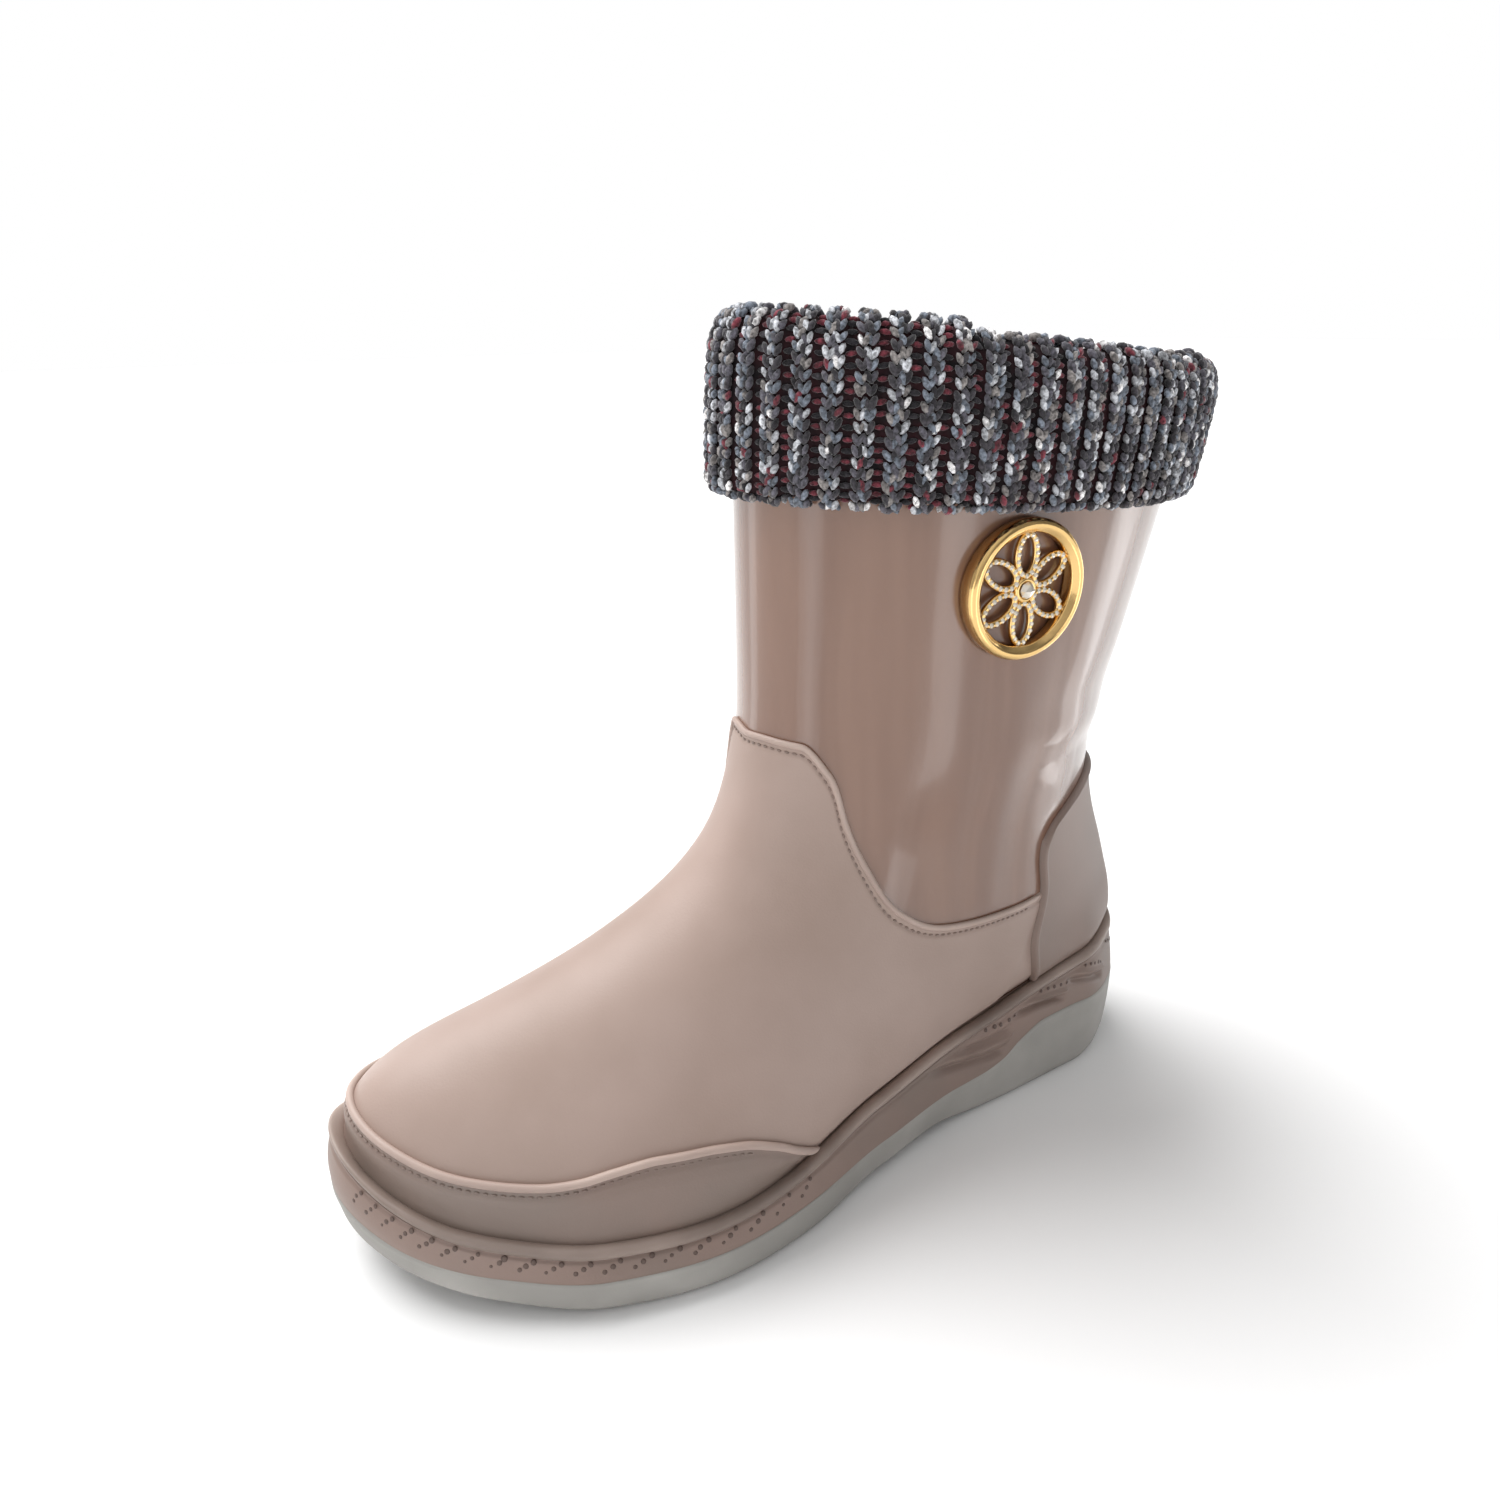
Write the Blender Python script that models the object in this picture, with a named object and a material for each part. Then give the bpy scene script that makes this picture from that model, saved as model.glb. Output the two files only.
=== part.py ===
"""Left rubber boot with a turned-down knit cuff, about EU 38.

Millimetres inside, metres out; +Z up, the toe points along -Y and the outer side along +X.
Every loop starts at the heel, runs up the outer side to the toe and back along the inner side.
"""
from math import pi

import bmesh
import bpy
import numpy as np

LENGTH = 268.0          # outsole, heel to toe
BALL = 102.0            # outsole across the ball
FEATHER = 6.5           # upper's face inside the outsole's edge
WALL = 2.2              # upper
GAP = 0.3               # between pieces that meet
SIDE = 22               # columns on each side of a loop

# share of length, half width over half ball, centre line's shift to the outer side
OUTLINE = [
    (0.000, 0.000, 0.0), (0.020, 0.333, 0.0), (0.060, 0.549, 0.0), (0.130, 0.686, 0.5), (0.220, 0.688, 1.7),
    (0.340, 0.674, 3.8), (0.460, 0.756, 5.6), (0.580, 0.920, 5.6), (0.690, 1.000, 3.5), (0.790, 0.970, -0.9),
    (0.880, 0.822, -6.1), (0.945, 0.614, -9.6), (0.985, 0.337, -11.8), (1.000, 0.000, -12.2)]

# share of length, ground, outsole's upper edge, footbed, rim
SOLE = [
    (0.00, 2.5, 22.6, 28.0, 45.0), (0.04, 0.5, 22.8, 28.0, 44.4), (0.10, 0.0, 23.4, 28.0, 43.0),
    (0.16, 0.0, 24.4, 27.2, 40.5), (0.20, 0.0, 24.2, 26.4, 38.6), (0.24, 0.0, 20.4, 25.2, 36.6),
    (0.27, 0.2, 15.4, 24.0, 35.0), (0.30, 0.6, 13.4, 22.6, 33.4), (0.38, 2.5, 12.6, 19.0, 29.2),
    (0.46, 2.0, 12.0, 16.0, 26.2), (0.56, 0.0, 11.3, 13.6, 21.6), (0.65, 0.0, 10.4, 12.6, 18.4),
    (0.72, 0.0, 10.2, 12.4, 17.8), (0.80, 1.0, 10.8, 13.0, 18.8), (0.90, 5.0, 13.6, 15.8, 22.8),
    (0.96, 8.9, 16.6, 18.8, 29.6), (1.00, 12.0, 19.8, 22.0, 38.5)]

# sidewall: share of its height, inset from the outline
WALL_LEAN = [(0.00, 3.0), (0.10, 1.0), (0.50, 0.0), (0.85, 1.6), (1.00, 3.3)]

# front station and height, back station and height, half width, share of shaft form, foot inset, rim's pull
UPPER = [
    (261.5, 21.0, 6.5, 28.0, 46.0, 0.00, 6.5, 1.00),
    (261.5, 39.0, 6.5, 45.5, 46.0, 0.00, 6.5, 1.00),
    (260.4, 46.0, 4.3, 51.5, 44.7, 0.26, 4.0, 0.85),
    (251.6, 53.5, 3.8, 57.5, 42.4, 0.62, 3.4, 0.50),
    (231.8, 60.0, 5.0, 64.0, 39.6, 0.90, 5.0, 0.20),
    (199.0, 72.8, 8.4, 73.5, 37.4, 1.00, 6.5, 0.04),
    (173.0, 87.0, 14.0, 86.0, 35.8, 1.00, 6.5, 0.00),
    (155.6, 103.5, 19.0, 101.0, 35.6, 1.00, 6.5, 0.00),
    (147.6, 122.5, 20.7, 116.0, 39.0, 1.00, 6.5, 0.00),
    (144.8, 138.5, 18.6, 130.0, 40.6, 1.00, 6.5, 0.00),
    (144.6, 159.0, 12.4, 151.0, 41.4, 1.00, 6.5, 0.00),
    (144.7, 189.0, 2.9, 180.5, 42.3, 1.00, 6.5, 0.00),
    (144.8, 228.5, -7.2, 215.5, 43.2, 1.00, 6.5, 0.00),
    (144.9, 270.0, -17.5, 250.0, 44.1, 1.00, 6.5, 0.00)]
RIM_ROW = 1.0

# loop parameter, upper's row at the panel's top line
GUARD = [(0.5454, 1.60), (0.591, 2.50), (0.636, 2.75), (0.682, 2.78), (0.727, 2.52), (0.773, 2.40), (1.0, 2.36)]
COUNTER = [(0.00, 7.30), (0.136, 7.28), (0.227, 7.20), (0.318, 6.95), (0.3637, 6.20)]

OVERLAY = 1.6           # gap and thickness of a panel that stands proud
INSOLE = 3.5
CUFF = 6.4              # knit outside the shaft
CUFF_LOW = 194.0        # turned-down edge
CUFF_TOP = 234.5
CUFF_IN = 168.0         # inner leg's lower edge
BADGE = 36.4            # across the ring
BADGE_RIM = 3.6
BADGE_DEEP = 4.4
BADGE_AT = (10.66, 0.556)    # row and loop parameter
LUG_DEEP = 2.5
LUG_GAP = 3.4
LUG_EDGE = 9.0          # whole edge left round the tread

# first station, last station, pitch of the chevron grooves
TREAD = [(18.0, 72.0, 10.6), (146.0, 252.0, 11.2)]


def curve(xs, ys, at):
    """Monotone cubic through a short table."""
    xs, ys = np.asarray(xs, float), np.asarray(ys, float)
    step = np.diff(xs)
    rise = np.diff(ys) / step
    slope = np.concatenate([rise[:1], np.zeros(len(xs) - 2), rise[-1:]])
    same = np.nonzero(rise[:-1] * rise[1:] > 0)[0]
    w1, w2 = 2 * step[same + 1] + step[same], step[same + 1] + 2 * step[same]
    slope[same + 1] = (w1 + w2) / (w1 / rise[same] + w2 / rise[same + 1])
    at = np.clip(at, xs[0], xs[-1])
    i = np.clip(np.searchsorted(xs, at, side='right') - 1, 0, len(step) - 1)
    u = (at - xs[i]) / step[i]
    return ((2 * u**3 - 3 * u**2 + 1) * ys[i] + (3 * u**2 - 2 * u**3) * ys[i + 1]
            + ((u**3 - 2 * u**2 + u) * slope[i] + (u**3 - u**2) * slope[i + 1]) * step[i])


def column(table, k):
    return np.array([row[k] for row in table], float)


def sole(k, share):
    return curve(column(SOLE, 0), column(SOLE, k), share)


def shift(share):
    return curve(column(OUTLINE, 0), column(OUTLINE, 2), share)


def dense_outline(side):
    """Stations, offsets and outward normals of one side of the outsole's edge."""
    tau = np.linspace(0, 1, 501)
    share = (1 - np.cos(pi * tau)) / 2
    table_tau = np.arccos(1 - 2 * column(OUTLINE, 0)) / pi
    s = LENGTH * share
    x = shift(share) + side * curve(table_tau, column(OUTLINE, 1), tau) * BALL / 2
    along = np.stack([np.gradient(s), np.gradient(x)], 1)
    along /= np.linalg.norm(along, axis=1)[:, None]
    out = np.stack([-along[:, 1], along[:, 0]], 1) * side
    out[0], out[-1] = (-1, 0), (1, 0)
    for _ in range(12):
        out[1:-1] = (out[:-2] + 2 * out[1:-1] + out[2:]) / 4
    out /= np.linalg.norm(out, axis=1)[:, None]
    return s, x, out


EDGE = {side: dense_outline(side) for side in (1, -1)}


INSETS = np.arange(0.0, 14.0)


def edge_x(side, share, inset):
    """Offset of the edge moved in by inset, at a share of the way between the moved ends."""
    s, x, out = EDGE[side]
    rings = np.array([np.interp(i + (LENGTH - 2 * i) * share, s - out[:, 0] * i, x - out[:, 1] * i) for i in INSETS])
    inset = np.clip(inset, 0, INSETS[-1] - 0.001) + 0 * share
    low = inset.astype(int)
    pick = lambda i: np.take_along_axis(rings, i[None], 0)[0]
    return pick(low) * (1 - inset + low) + pick(low + 1) * (inset - low)


def fold(t):
    """Side and share along the side for a loop parameter 0..2, lateral side first."""
    t = np.mod(t, 2.0)
    return np.where(t <= 1, 1, -1), np.where(t <= 1, t, 2 - t)


def loop(inset, height, t):
    """A ring of the sole: inset from the outline, height given by the share of length."""
    side, tau = fold(t)
    share = (1 - np.cos(pi * tau)) / 2
    ins = inset(share) if callable(inset) else inset + 0 * share
    s = ins + (LENGTH - 2 * ins) * share
    x = np.where(side > 0, edge_x(1, share, ins), edge_x(-1, share, ins))
    return np.stack([x, LENGTH / 2 - s, height(s / LENGTH)], -1)


def row_value(k, v):
    """Column k of the upper's table at row v, eased across its neighbours."""
    rows = np.arange(len(UPPER), dtype=float)
    reach = np.minimum(0.5, np.minimum(np.abs(v - RIM_ROW), np.abs(len(UPPER) - 1 - v)))
    reach = np.minimum(reach, v)
    total = 0
    for j, weight in zip((-2, -1, 0, 1, 2), (1, 2, 3, 2, 1)):
        total = total + weight * curve(rows, column(UPPER, k), v + reach * j / 2)
    return total / 9


def upper(v, t):
    """The upper's outer face; v is a row of the table, t goes round the loop."""
    v, t = np.broadcast_arrays(np.asarray(v, float), np.asarray(t, float))
    side, tau = fold(t)
    share = (1 - np.cos(pi * tau)) / 2
    fs, fz, bs, bz, half, shaft, inset, pull = [row_value(k, v) for k in range(8)]
    s = bs + (fs - bs) * share
    foot = FEATHER + (LENGTH - 2 * FEATHER) * share
    xf = np.where(side > 0, edge_x(1, share, inset), edge_x(-1, share, inset))
    xs = shift(np.clip(s / LENGTH, 0, 1)) + side * half * np.sin(pi * tau)
    x = (1 - shaft) * xf + shaft * xs
    sag = sole(4, foot / LENGTH) - (sole(4, 0.0) * (1 - share) + sole(4, 1.0) * share)
    z = bz + (fz - bz) * share + pull * sag
    under = np.clip(RIM_ROW - v, 0, 1)
    z = z * (1 - under) + sole(3, foot / LENGTH) * under
    return np.stack([x, LENGTH / 2 - s, z], -1)


def upper_normal(v, t):
    e = 1e-3
    v, t = np.broadcast_arrays(np.asarray(v, float), np.asarray(t, float))
    top = len(UPPER) - 1
    dv = upper(np.minimum(v + 20 * e, top), t) - upper(np.maximum(v - 20 * e, 0), t)
    dt = upper(v, t + 8 * e) - upper(v, t - 8 * e)
    n = np.cross(dv, dt)
    n /= np.linalg.norm(n, axis=-1)[..., None]
    mid = upper(v, 0 * t + 0.5) * 0.5 + upper(v, 0 * t + 1.5) * 0.5
    return n * np.where(((upper(v, t) - mid) * n).sum(-1) < 0, -1, 1)[..., None]


def ring_faces(count, n, close):
    """Quads between successive loops of n points; close joins the last loop to the first."""
    faces = []
    for i in range(count if close else count - 1):
        a, b = i * n, (i + 1) % count * n
        faces += [(a + j, a + (j + 1) % n, b + (j + 1) % n, b + j) for j in range(n)]
    return faces


def cap_faces(start):
    """Strips across a loop, from the outer side to the inner side."""
    n = 2 * SIDE
    faces = [(start + j, start + j + 1, start + n - j - 1, start + n - j) for j in range(1, SIDE - 1)]
    return faces + [(start, start + 1, start + n - 1), (start + SIDE - 1, start + SIDE, start + SIDE + 1)]


def stacked(loops):
    """Closed solid from a stack of loops, capped at both ends."""
    faces = ring_faces(len(loops), 2 * SIDE, False)
    return np.concatenate(loops), faces + cap_faces(0) + cap_faces((len(loops) - 1) * 2 * SIDE)


def sleeve(loops):
    """Closed solid from loops that run out, over and back inside."""
    return np.concatenate(loops), ring_faces(len(loops), len(loops[0]), True)


def patch(inner, outer):
    """Closed solid between two grids of the same size."""
    rows, cols = inner.shape[:2]
    side = rows * cols
    faces = []
    for i in range(rows - 1):
        for j in range(cols - 1):
            q = (i * cols + j, i * cols + j + 1, (i + 1) * cols + j + 1, (i + 1) * cols + j)
            faces += [q, tuple(side + k for k in reversed(q))]
    edge = [j for j in range(cols)] + [i * cols + cols - 1 for i in range(1, rows)]
    edge += [(rows - 1) * cols + j for j in range(cols - 2, -1, -1)] + [i * cols for i in range(rows - 2, 0, -1)]
    faces += [(a, b, side + b, side + a) for a, b in zip(edge, edge[1:] + edge[:1])]
    return np.concatenate([inner.reshape(-1, 3), outer.reshape(-1, 3)]), faces


T = np.arange(2 * SIDE) / SIDE
OUTER_ROWS = [0, 0.5, 1, 1.5, 2, 2.5, 3, 3.5, 4, 4.5, 5, 5.5, 6, 6.5, 7, 7.5, 8, 9, 10, 11, 12]


def side_inset(part):
    """Sidewall's inset where it stands at this part of the way from outsole edge to rim (1) or ground (-1)."""
    def at(share):
        low = (sole(2, share) - sole(1, share)) / (sole(4, share) - sole(1, share))
        k = low + (1 - low) * part if part >= 0 else low * (1 + part)
        return curve(column(WALL_LEAN, 0), column(WALL_LEAN, 1), k)
    return at


def outsole():
    loops = [loop(side_inset(-1.0), lambda k: sole(1, k), T)]
    for part in (-0.8, -0.4):
        loops.append(loop(side_inset(part), lambda k: sole(1, k) + (sole(2, k) - sole(1, k)) * (1 + part), T))
    loops.append(loop(side_inset(0.0), lambda k: sole(2, k), T))
    return stacked(loops)


def midsole():
    rise = lambda part: lambda k: sole(2, k) + GAP + (sole(4, k) - sole(2, k) - GAP) * part
    loops = [loop(side_inset(part), rise(part), T) for part in (0.0, 0.3, 0.6, 0.88)]
    loops.append(loop(lambda k: side_inset(1.0)(k) + 0.6, rise(1.0), T))
    loops.append(loop(FEATHER - GAP - 0.7, rise(1.0), T))
    loops.append(loop(FEATHER - GAP, lambda k: sole(4, k) - 1.0, T))
    loops.append(loop(FEATHER - GAP, lambda k: sole(3, k) - GAP, T))
    return stacked(loops)


def insole():
    edge = FEATHER + WALL + 2 * GAP
    lift = lambda h: lambda k: sole(3, k) + h
    return stacked([loop(edge, lift(0.0), T), loop(edge, lift(INSOLE - 0.8), T), loop(edge + 0.8, lift(INSOLE), T)])


def upper_shell():
    v = np.array(OUTER_ROWS, float)[:, None]
    outer = upper(v, T[None])
    inner = outer - WALL * upper_normal(v, T[None])
    inner[[0, -1], :, 2] = outer[[0, -1], :, 2]
    return sleeve(list(outer) + list(inner[::-1]))


def overlay(columns, top, rows, front=0.0):
    """Panel that stands on the upper, from just over the rim to the top line."""
    t = np.array(columns, float) / SIDE
    low = RIM_ROW + 0.14
    high = top(np.abs(t) if t.min() < 0 else 1 - np.abs(1 - t))
    v = low + (high - low)[None] * np.linspace(0, 1, rows)[:, None]
    t = np.broadcast_to(t, v.shape).copy()
    t[:, 0] += front * np.clip((4 - v[:, 0]) / 3, 0, 1)
    t[:, -1] -= front * np.clip((4 - v[:, -1]) / 3, 0, 1)
    base, n = upper(v, t % 2), upper_normal(v, t % 2)
    return patch(base + 2 * GAP * n, base + (GAP + OVERLAY) * n)


def toe_guard():
    ends = [12, 12.3, 12.65, 13, 13.5]
    return overlay(ends + list(range(14, 31)) + [44 - c for c in reversed(ends)], lambda k: curve(column(GUARD, 0), column(GUARD, 1), k), 5)


def heel_counter():
    return overlay(range(-8, 9), lambda k: curve(column(COUNTER, 0), column(COUNTER, 1), k), 14, 0.02)


def shaft_ring(d, height, t=T):
    """Ring round the shaft, d outside the upper's face, at a mean height."""
    rows = np.arange(9, len(UPPER), dtype=float)
    means = [(UPPER[int(i)][1] + UPPER[int(i)][3]) / 2 for i in rows]
    v = np.interp(height, means, rows) + 0 * t
    n = upper_normal(v, t)
    n[:, 2] = 0
    return upper(v, t) + d * n / np.linalg.norm(n, axis=1)[:, None]


def knit_cuff():
    collar = (UPPER[12][1] + UPPER[12][3]) / 2
    inside = -(WALL + GAP)
    section = [
        (1.4, CUFF_LOW), (CUFF - 1.4, CUFF_LOW), (CUFF, CUFF_LOW + 2.5), (CUFF, CUFF_LOW + 14),
        (CUFF - 0.8, CUFF_TOP - 15), (CUFF - 2.2, CUFF_TOP - 6), (CUFF - 4.8, CUFF_TOP - 1.2),
        (CUFF - 8.0, CUFF_TOP), (inside - 2.6, CUFF_TOP - 1.6), (inside - 4.6, CUFF_TOP - 6),
        (inside - 5.0, collar - 8), (inside - 5.0, CUFF_IN + 1.5), (inside - 4.0, CUFF_IN),
        (inside - 1.0, CUFF_IN), (inside - 0.1, CUFF_IN + 1.5), (inside - 0.1, collar - 12),
        (inside - 0.1, collar + 0.4), (GAP + 0.1, collar + 0.4), (GAP + 0.1, collar - 16), (GAP + 0.1, CUFF_LOW + 1.2)]
    return sleeve([shaft_ring(d, z) for d, z in section])


def badge_frame():
    """Centre, axes and bend of the shaft under the badge."""
    v, t = np.array([BADGE_AT[0]]), np.array([BADGE_AT[1]])
    centre, n = upper(v, t)[0], upper_normal(v, t)[0]
    right = np.cross([0, 0, 1.0], n)
    right /= np.linalg.norm(right)
    up = np.cross(n, right)
    vv, tt = np.meshgrid(v[0] + np.linspace(-0.7, 0.7, 9), t[0] + np.linspace(-0.12, 0.12, 9))
    near = upper(vv, tt).reshape(-1, 3) - centre
    a, b = near @ right, near @ up
    bend = np.linalg.lstsq(np.stack([a * a, b * b, a * b, a, b], 1), near @ n, rcond=None)[0]
    return centre, right, up, n, bend


def on_badge(a, b, height, lie=0.0):
    """Point of the badge; height over its plane, or with lie 1 over the shaft's own face."""
    centre, right, up, n, bend = badge_frame()
    fall = np.stack([a * a, b * b, a * b, a, b], -1) @ bend
    h = height + lie * fall
    return centre + a[..., None] * right + b[..., None] * up + h[..., None] * n


def badge_ring():
    r = BADGE / 2
    section = [(r, 0.4, 1), (r, BADGE_DEEP - 1.2, 0), (r - 0.8, BADGE_DEEP - 0.1, 0), (r - 2.3, BADGE_DEEP, 0),
               (r - BADGE_RIM, BADGE_DEEP - 0.9, 0), (r - BADGE_RIM, 0.4, 1)]
    a = np.arange(28) * 2 * pi / 28
    loops = [on_badge(q * np.cos(a), q * np.sin(a), h + 0 * a, lie) for q, h, lie in section]
    return sleeve(loops)


def petals(first):
    """Three open petal loops, every other one of the six."""
    verts, faces = [], []
    far = BADGE / 2 - BADGE_RIM + 0.35
    long, wide, band = (far - 2.6) / 2, 3.9, 1.8
    a = np.arange(14) * 2 * pi / 14
    for k in range(3):
        turn = (first + 2 * k) * pi / 3 + pi / 2
        loops = []
        for grow, h in ((0, 1.0), (0, 2.6), (-band, 2.6), (-band, 1.0)):
            p = (far + 2.6) / 2 + (long + grow) * np.cos(a)
            q = (wide + grow) * np.sin(a)
            x, y = p * np.cos(turn) - q * np.sin(turn), p * np.sin(turn) + q * np.cos(turn)
            loops.append(on_badge(x, y, h + 0 * a, 0.6))
        v, f = sleeve(loops)
        faces += [tuple(i + len(verts) * len(v) for i in face) for face in f]
        verts.append(v)
    return np.concatenate(verts), faces


def badge_heart():
    a = np.arange(14) * 2 * pi / 14
    loops = [on_badge(3.4 * np.cos(a), 3.4 * np.sin(a), h + 0 * a) for h in (0.8, 2.9)]
    n = len(a)
    faces = ring_faces(2, n, False) + [tuple(range(n)), tuple(range(2 * n - 1, n - 1, -1))]
    return np.concatenate(loops), faces


def grooves():
    """Chevron bands between the lugs, short of the outsole's edge."""
    verts, faces = [], []
    across = np.array([-1, -0.5, 0, 0.5, 1.0])
    for start, end, pitch in TREAD:
        for station in np.arange(start, end, pitch):
            share = np.array([(station - LUG_EDGE) / (LENGTH - 2 * LUG_EDGE)])
            high, low = [edge_x(side, share, LUG_EDGE)[0] for side in (1, -1)]
            x = (high + low) / 2 + across * (high - low) / 2
            s = station + 3 - 6 * np.abs(across)
            ground = sole(1, s / LENGTH)
            n = len(verts) * 20
            ring = np.concatenate([s - LUG_GAP / 2, (s + LUG_GAP / 2)[::-1]])
            xs = np.concatenate([x, x[::-1]])
            tops = np.concatenate([ground, ground[::-1]]) + LUG_DEEP
            y = LENGTH / 2 - ring
            verts.append(np.concatenate([np.stack([xs, y, tops * 0 - 4], 1), np.stack([xs, y, tops], 1)]))
            faces += [(n + j, n + (j + 1) % 10, n + 10 + (j + 1) % 10, n + 10 + j) for j in range(10)]
            for j in range(4):
                a, b, c, d = j, j + 1, 8 - j, 9 - j
                faces += [(n + a, n + b, n + c, n + d), (n + 10 + a, n + 10 + b, n + 10 + c, n + 10 + d)]
    return np.concatenate(verts), faces


def put(name, shape, centre, cutter=False):
    verts, faces = shape
    mesh = bpy.data.meshes.new(name)
    mesh.from_pydata([tuple(p) for p in (verts - centre) / 1000], [], faces)
    form = bmesh.new()
    form.from_mesh(mesh)
    bmesh.ops.recalc_face_normals(form, faces=form.faces)
    form.to_mesh(mesh)
    form.free()
    obj = bpy.data.objects.new(name, mesh)
    bpy.context.scene.collection.objects.link(obj)
    if cutter:
        obj.hide_render = True
        obj.display_type = 'WIRE'
    return obj


def combine(obj, other, operation):
    mod = obj.modifiers.new(other.name, 'BOOLEAN')
    mod.operation = operation
    mod.solver = 'EXACT'
    mod.object = other


def main():
    for obj in list(bpy.data.objects):
        bpy.data.objects.remove(obj)
    shapes = {
        'outsole': outsole(), 'midsole': midsole(), 'insole': insole(), 'upper': upper_shell(),
        'toe_guard': toe_guard(), 'heel_counter': heel_counter(), 'knit_cuff': knit_cuff(), 'badge': badge_ring()}
    points = np.concatenate([shape[0] for shape in shapes.values()])
    centre = (points.min(0) + points.max(0)) / 2
    centre[2] = points[:, 2].min()
    made = {name: put(name, shape, centre) for name, shape in shapes.items()}
    combine(made['outsole'], put('tread_cut', grooves(), centre, True), 'DIFFERENCE')
    for name, shape in (('petals_a', petals(0)), ('petals_b', petals(1)), ('heart', badge_heart())):
        combine(made['badge'], put(name, shape, centre, True), 'UNION')


main()
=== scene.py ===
"""Left rubber boot with a turned-down knit cuff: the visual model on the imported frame.

Functions work in millimetres with the heel-to-toe station growing from the heel; meshes are in metres.
The toe points along -Y, the outer side along +X, and the floor is at zero.
"""
from math import cos, pi, radians, sin

import bpy
import numpy as np
from mathutils import Matrix


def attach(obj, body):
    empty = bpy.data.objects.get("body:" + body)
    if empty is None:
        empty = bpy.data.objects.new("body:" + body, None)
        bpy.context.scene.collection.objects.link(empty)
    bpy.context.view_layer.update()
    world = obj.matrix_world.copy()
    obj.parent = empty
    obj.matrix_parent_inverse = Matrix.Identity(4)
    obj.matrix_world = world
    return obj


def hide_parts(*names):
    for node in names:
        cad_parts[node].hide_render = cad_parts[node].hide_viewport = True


bl_info = {
    "name": "Rubber Boot",
    "version": (1, 0, 0),
    "blender": (4, 5, 0),
    "location": "View3D > Sidebar > Rubber Boot",
    "description": "Builds a short rain boot with a knit cuff, piece by piece",
    "category": "Object",
}

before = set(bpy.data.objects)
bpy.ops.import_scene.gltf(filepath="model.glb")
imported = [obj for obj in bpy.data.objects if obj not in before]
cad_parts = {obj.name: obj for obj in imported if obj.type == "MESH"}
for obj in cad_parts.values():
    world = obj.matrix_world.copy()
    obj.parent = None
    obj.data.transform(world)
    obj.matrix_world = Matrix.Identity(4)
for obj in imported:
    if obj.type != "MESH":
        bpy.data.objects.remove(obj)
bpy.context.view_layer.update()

LENGTH = 268.0          # outsole, heel to toe
BALL = 102.0            # outsole across the ball
FEATHER = 6.5           # upper's face inside the outsole's edge
WALL = 2.2              # upper
GAP = 0.3               # between pieces that meet
SIDE = 22               # columns on each side of a loop

# share of length, half width over half ball, centre line's shift to the outer side
OUTLINE = [
    (0.000, 0.000, 0.0), (0.020, 0.333, 0.0), (0.060, 0.549, 0.0), (0.130, 0.686, 0.5), (0.220, 0.688, 1.7),
    (0.340, 0.674, 3.8), (0.460, 0.756, 5.6), (0.580, 0.920, 5.6), (0.690, 1.000, 3.5), (0.790, 0.970, -0.9),
    (0.880, 0.822, -6.1), (0.945, 0.614, -9.6), (0.985, 0.337, -11.8), (1.000, 0.000, -12.2)]

# share of length, ground, outsole's upper edge, footbed, rim
SOLE = [
    (0.00, 2.5, 22.6, 28.0, 45.0), (0.04, 0.5, 22.8, 28.0, 44.4), (0.10, 0.0, 23.4, 28.0, 43.0),
    (0.16, 0.0, 24.4, 27.2, 40.5), (0.20, 0.0, 24.2, 26.4, 38.6), (0.24, 0.0, 20.4, 25.2, 36.6),
    (0.27, 0.2, 15.4, 24.0, 35.0), (0.30, 0.6, 13.4, 22.6, 33.4), (0.38, 2.5, 12.6, 19.0, 29.2),
    (0.46, 2.0, 12.0, 16.0, 26.2), (0.56, 0.0, 11.3, 13.6, 21.6), (0.65, 0.0, 10.4, 12.6, 18.4),
    (0.72, 0.0, 10.2, 12.4, 17.8), (0.80, 1.0, 10.8, 13.0, 18.8), (0.90, 5.0, 13.6, 15.8, 22.8),
    (0.96, 8.9, 16.6, 18.8, 29.6), (1.00, 12.0, 19.8, 22.0, 38.5)]

# sidewall: share of its height, inset from the outline
WALL_LEAN = [(0.00, 3.0), (0.10, 1.0), (0.50, 0.0), (0.85, 1.6), (1.00, 3.3)]

# front station and height, back station and height, half width, share of shaft form, foot inset, rim's pull
UPPER = [
    (261.5, 21.0, 6.5, 28.0, 46.0, 0.00, 6.5, 1.00),
    (261.5, 39.0, 6.5, 45.5, 46.0, 0.00, 6.5, 1.00),
    (260.4, 46.0, 4.3, 51.5, 44.7, 0.26, 4.0, 0.85),
    (251.6, 53.5, 3.8, 57.5, 42.4, 0.62, 3.4, 0.50),
    (231.8, 60.0, 5.0, 64.0, 39.6, 0.90, 5.0, 0.20),
    (199.0, 72.8, 8.4, 73.5, 37.4, 1.00, 6.5, 0.04),
    (173.0, 87.0, 14.0, 86.0, 35.8, 1.00, 6.5, 0.00),
    (155.6, 103.5, 19.0, 101.0, 35.6, 1.00, 6.5, 0.00),
    (147.6, 122.5, 20.7, 116.0, 39.0, 1.00, 6.5, 0.00),
    (144.8, 138.5, 18.6, 130.0, 40.6, 1.00, 6.5, 0.00),
    (144.6, 159.0, 12.4, 151.0, 41.4, 1.00, 6.5, 0.00),
    (144.7, 189.0, 2.9, 180.5, 42.3, 1.00, 6.5, 0.00),
    (144.8, 228.5, -7.2, 215.5, 43.2, 1.00, 6.5, 0.00),
    (144.9, 270.0, -17.5, 250.0, 44.1, 1.00, 6.5, 0.00)]
RIM_ROW = 1.0

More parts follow.
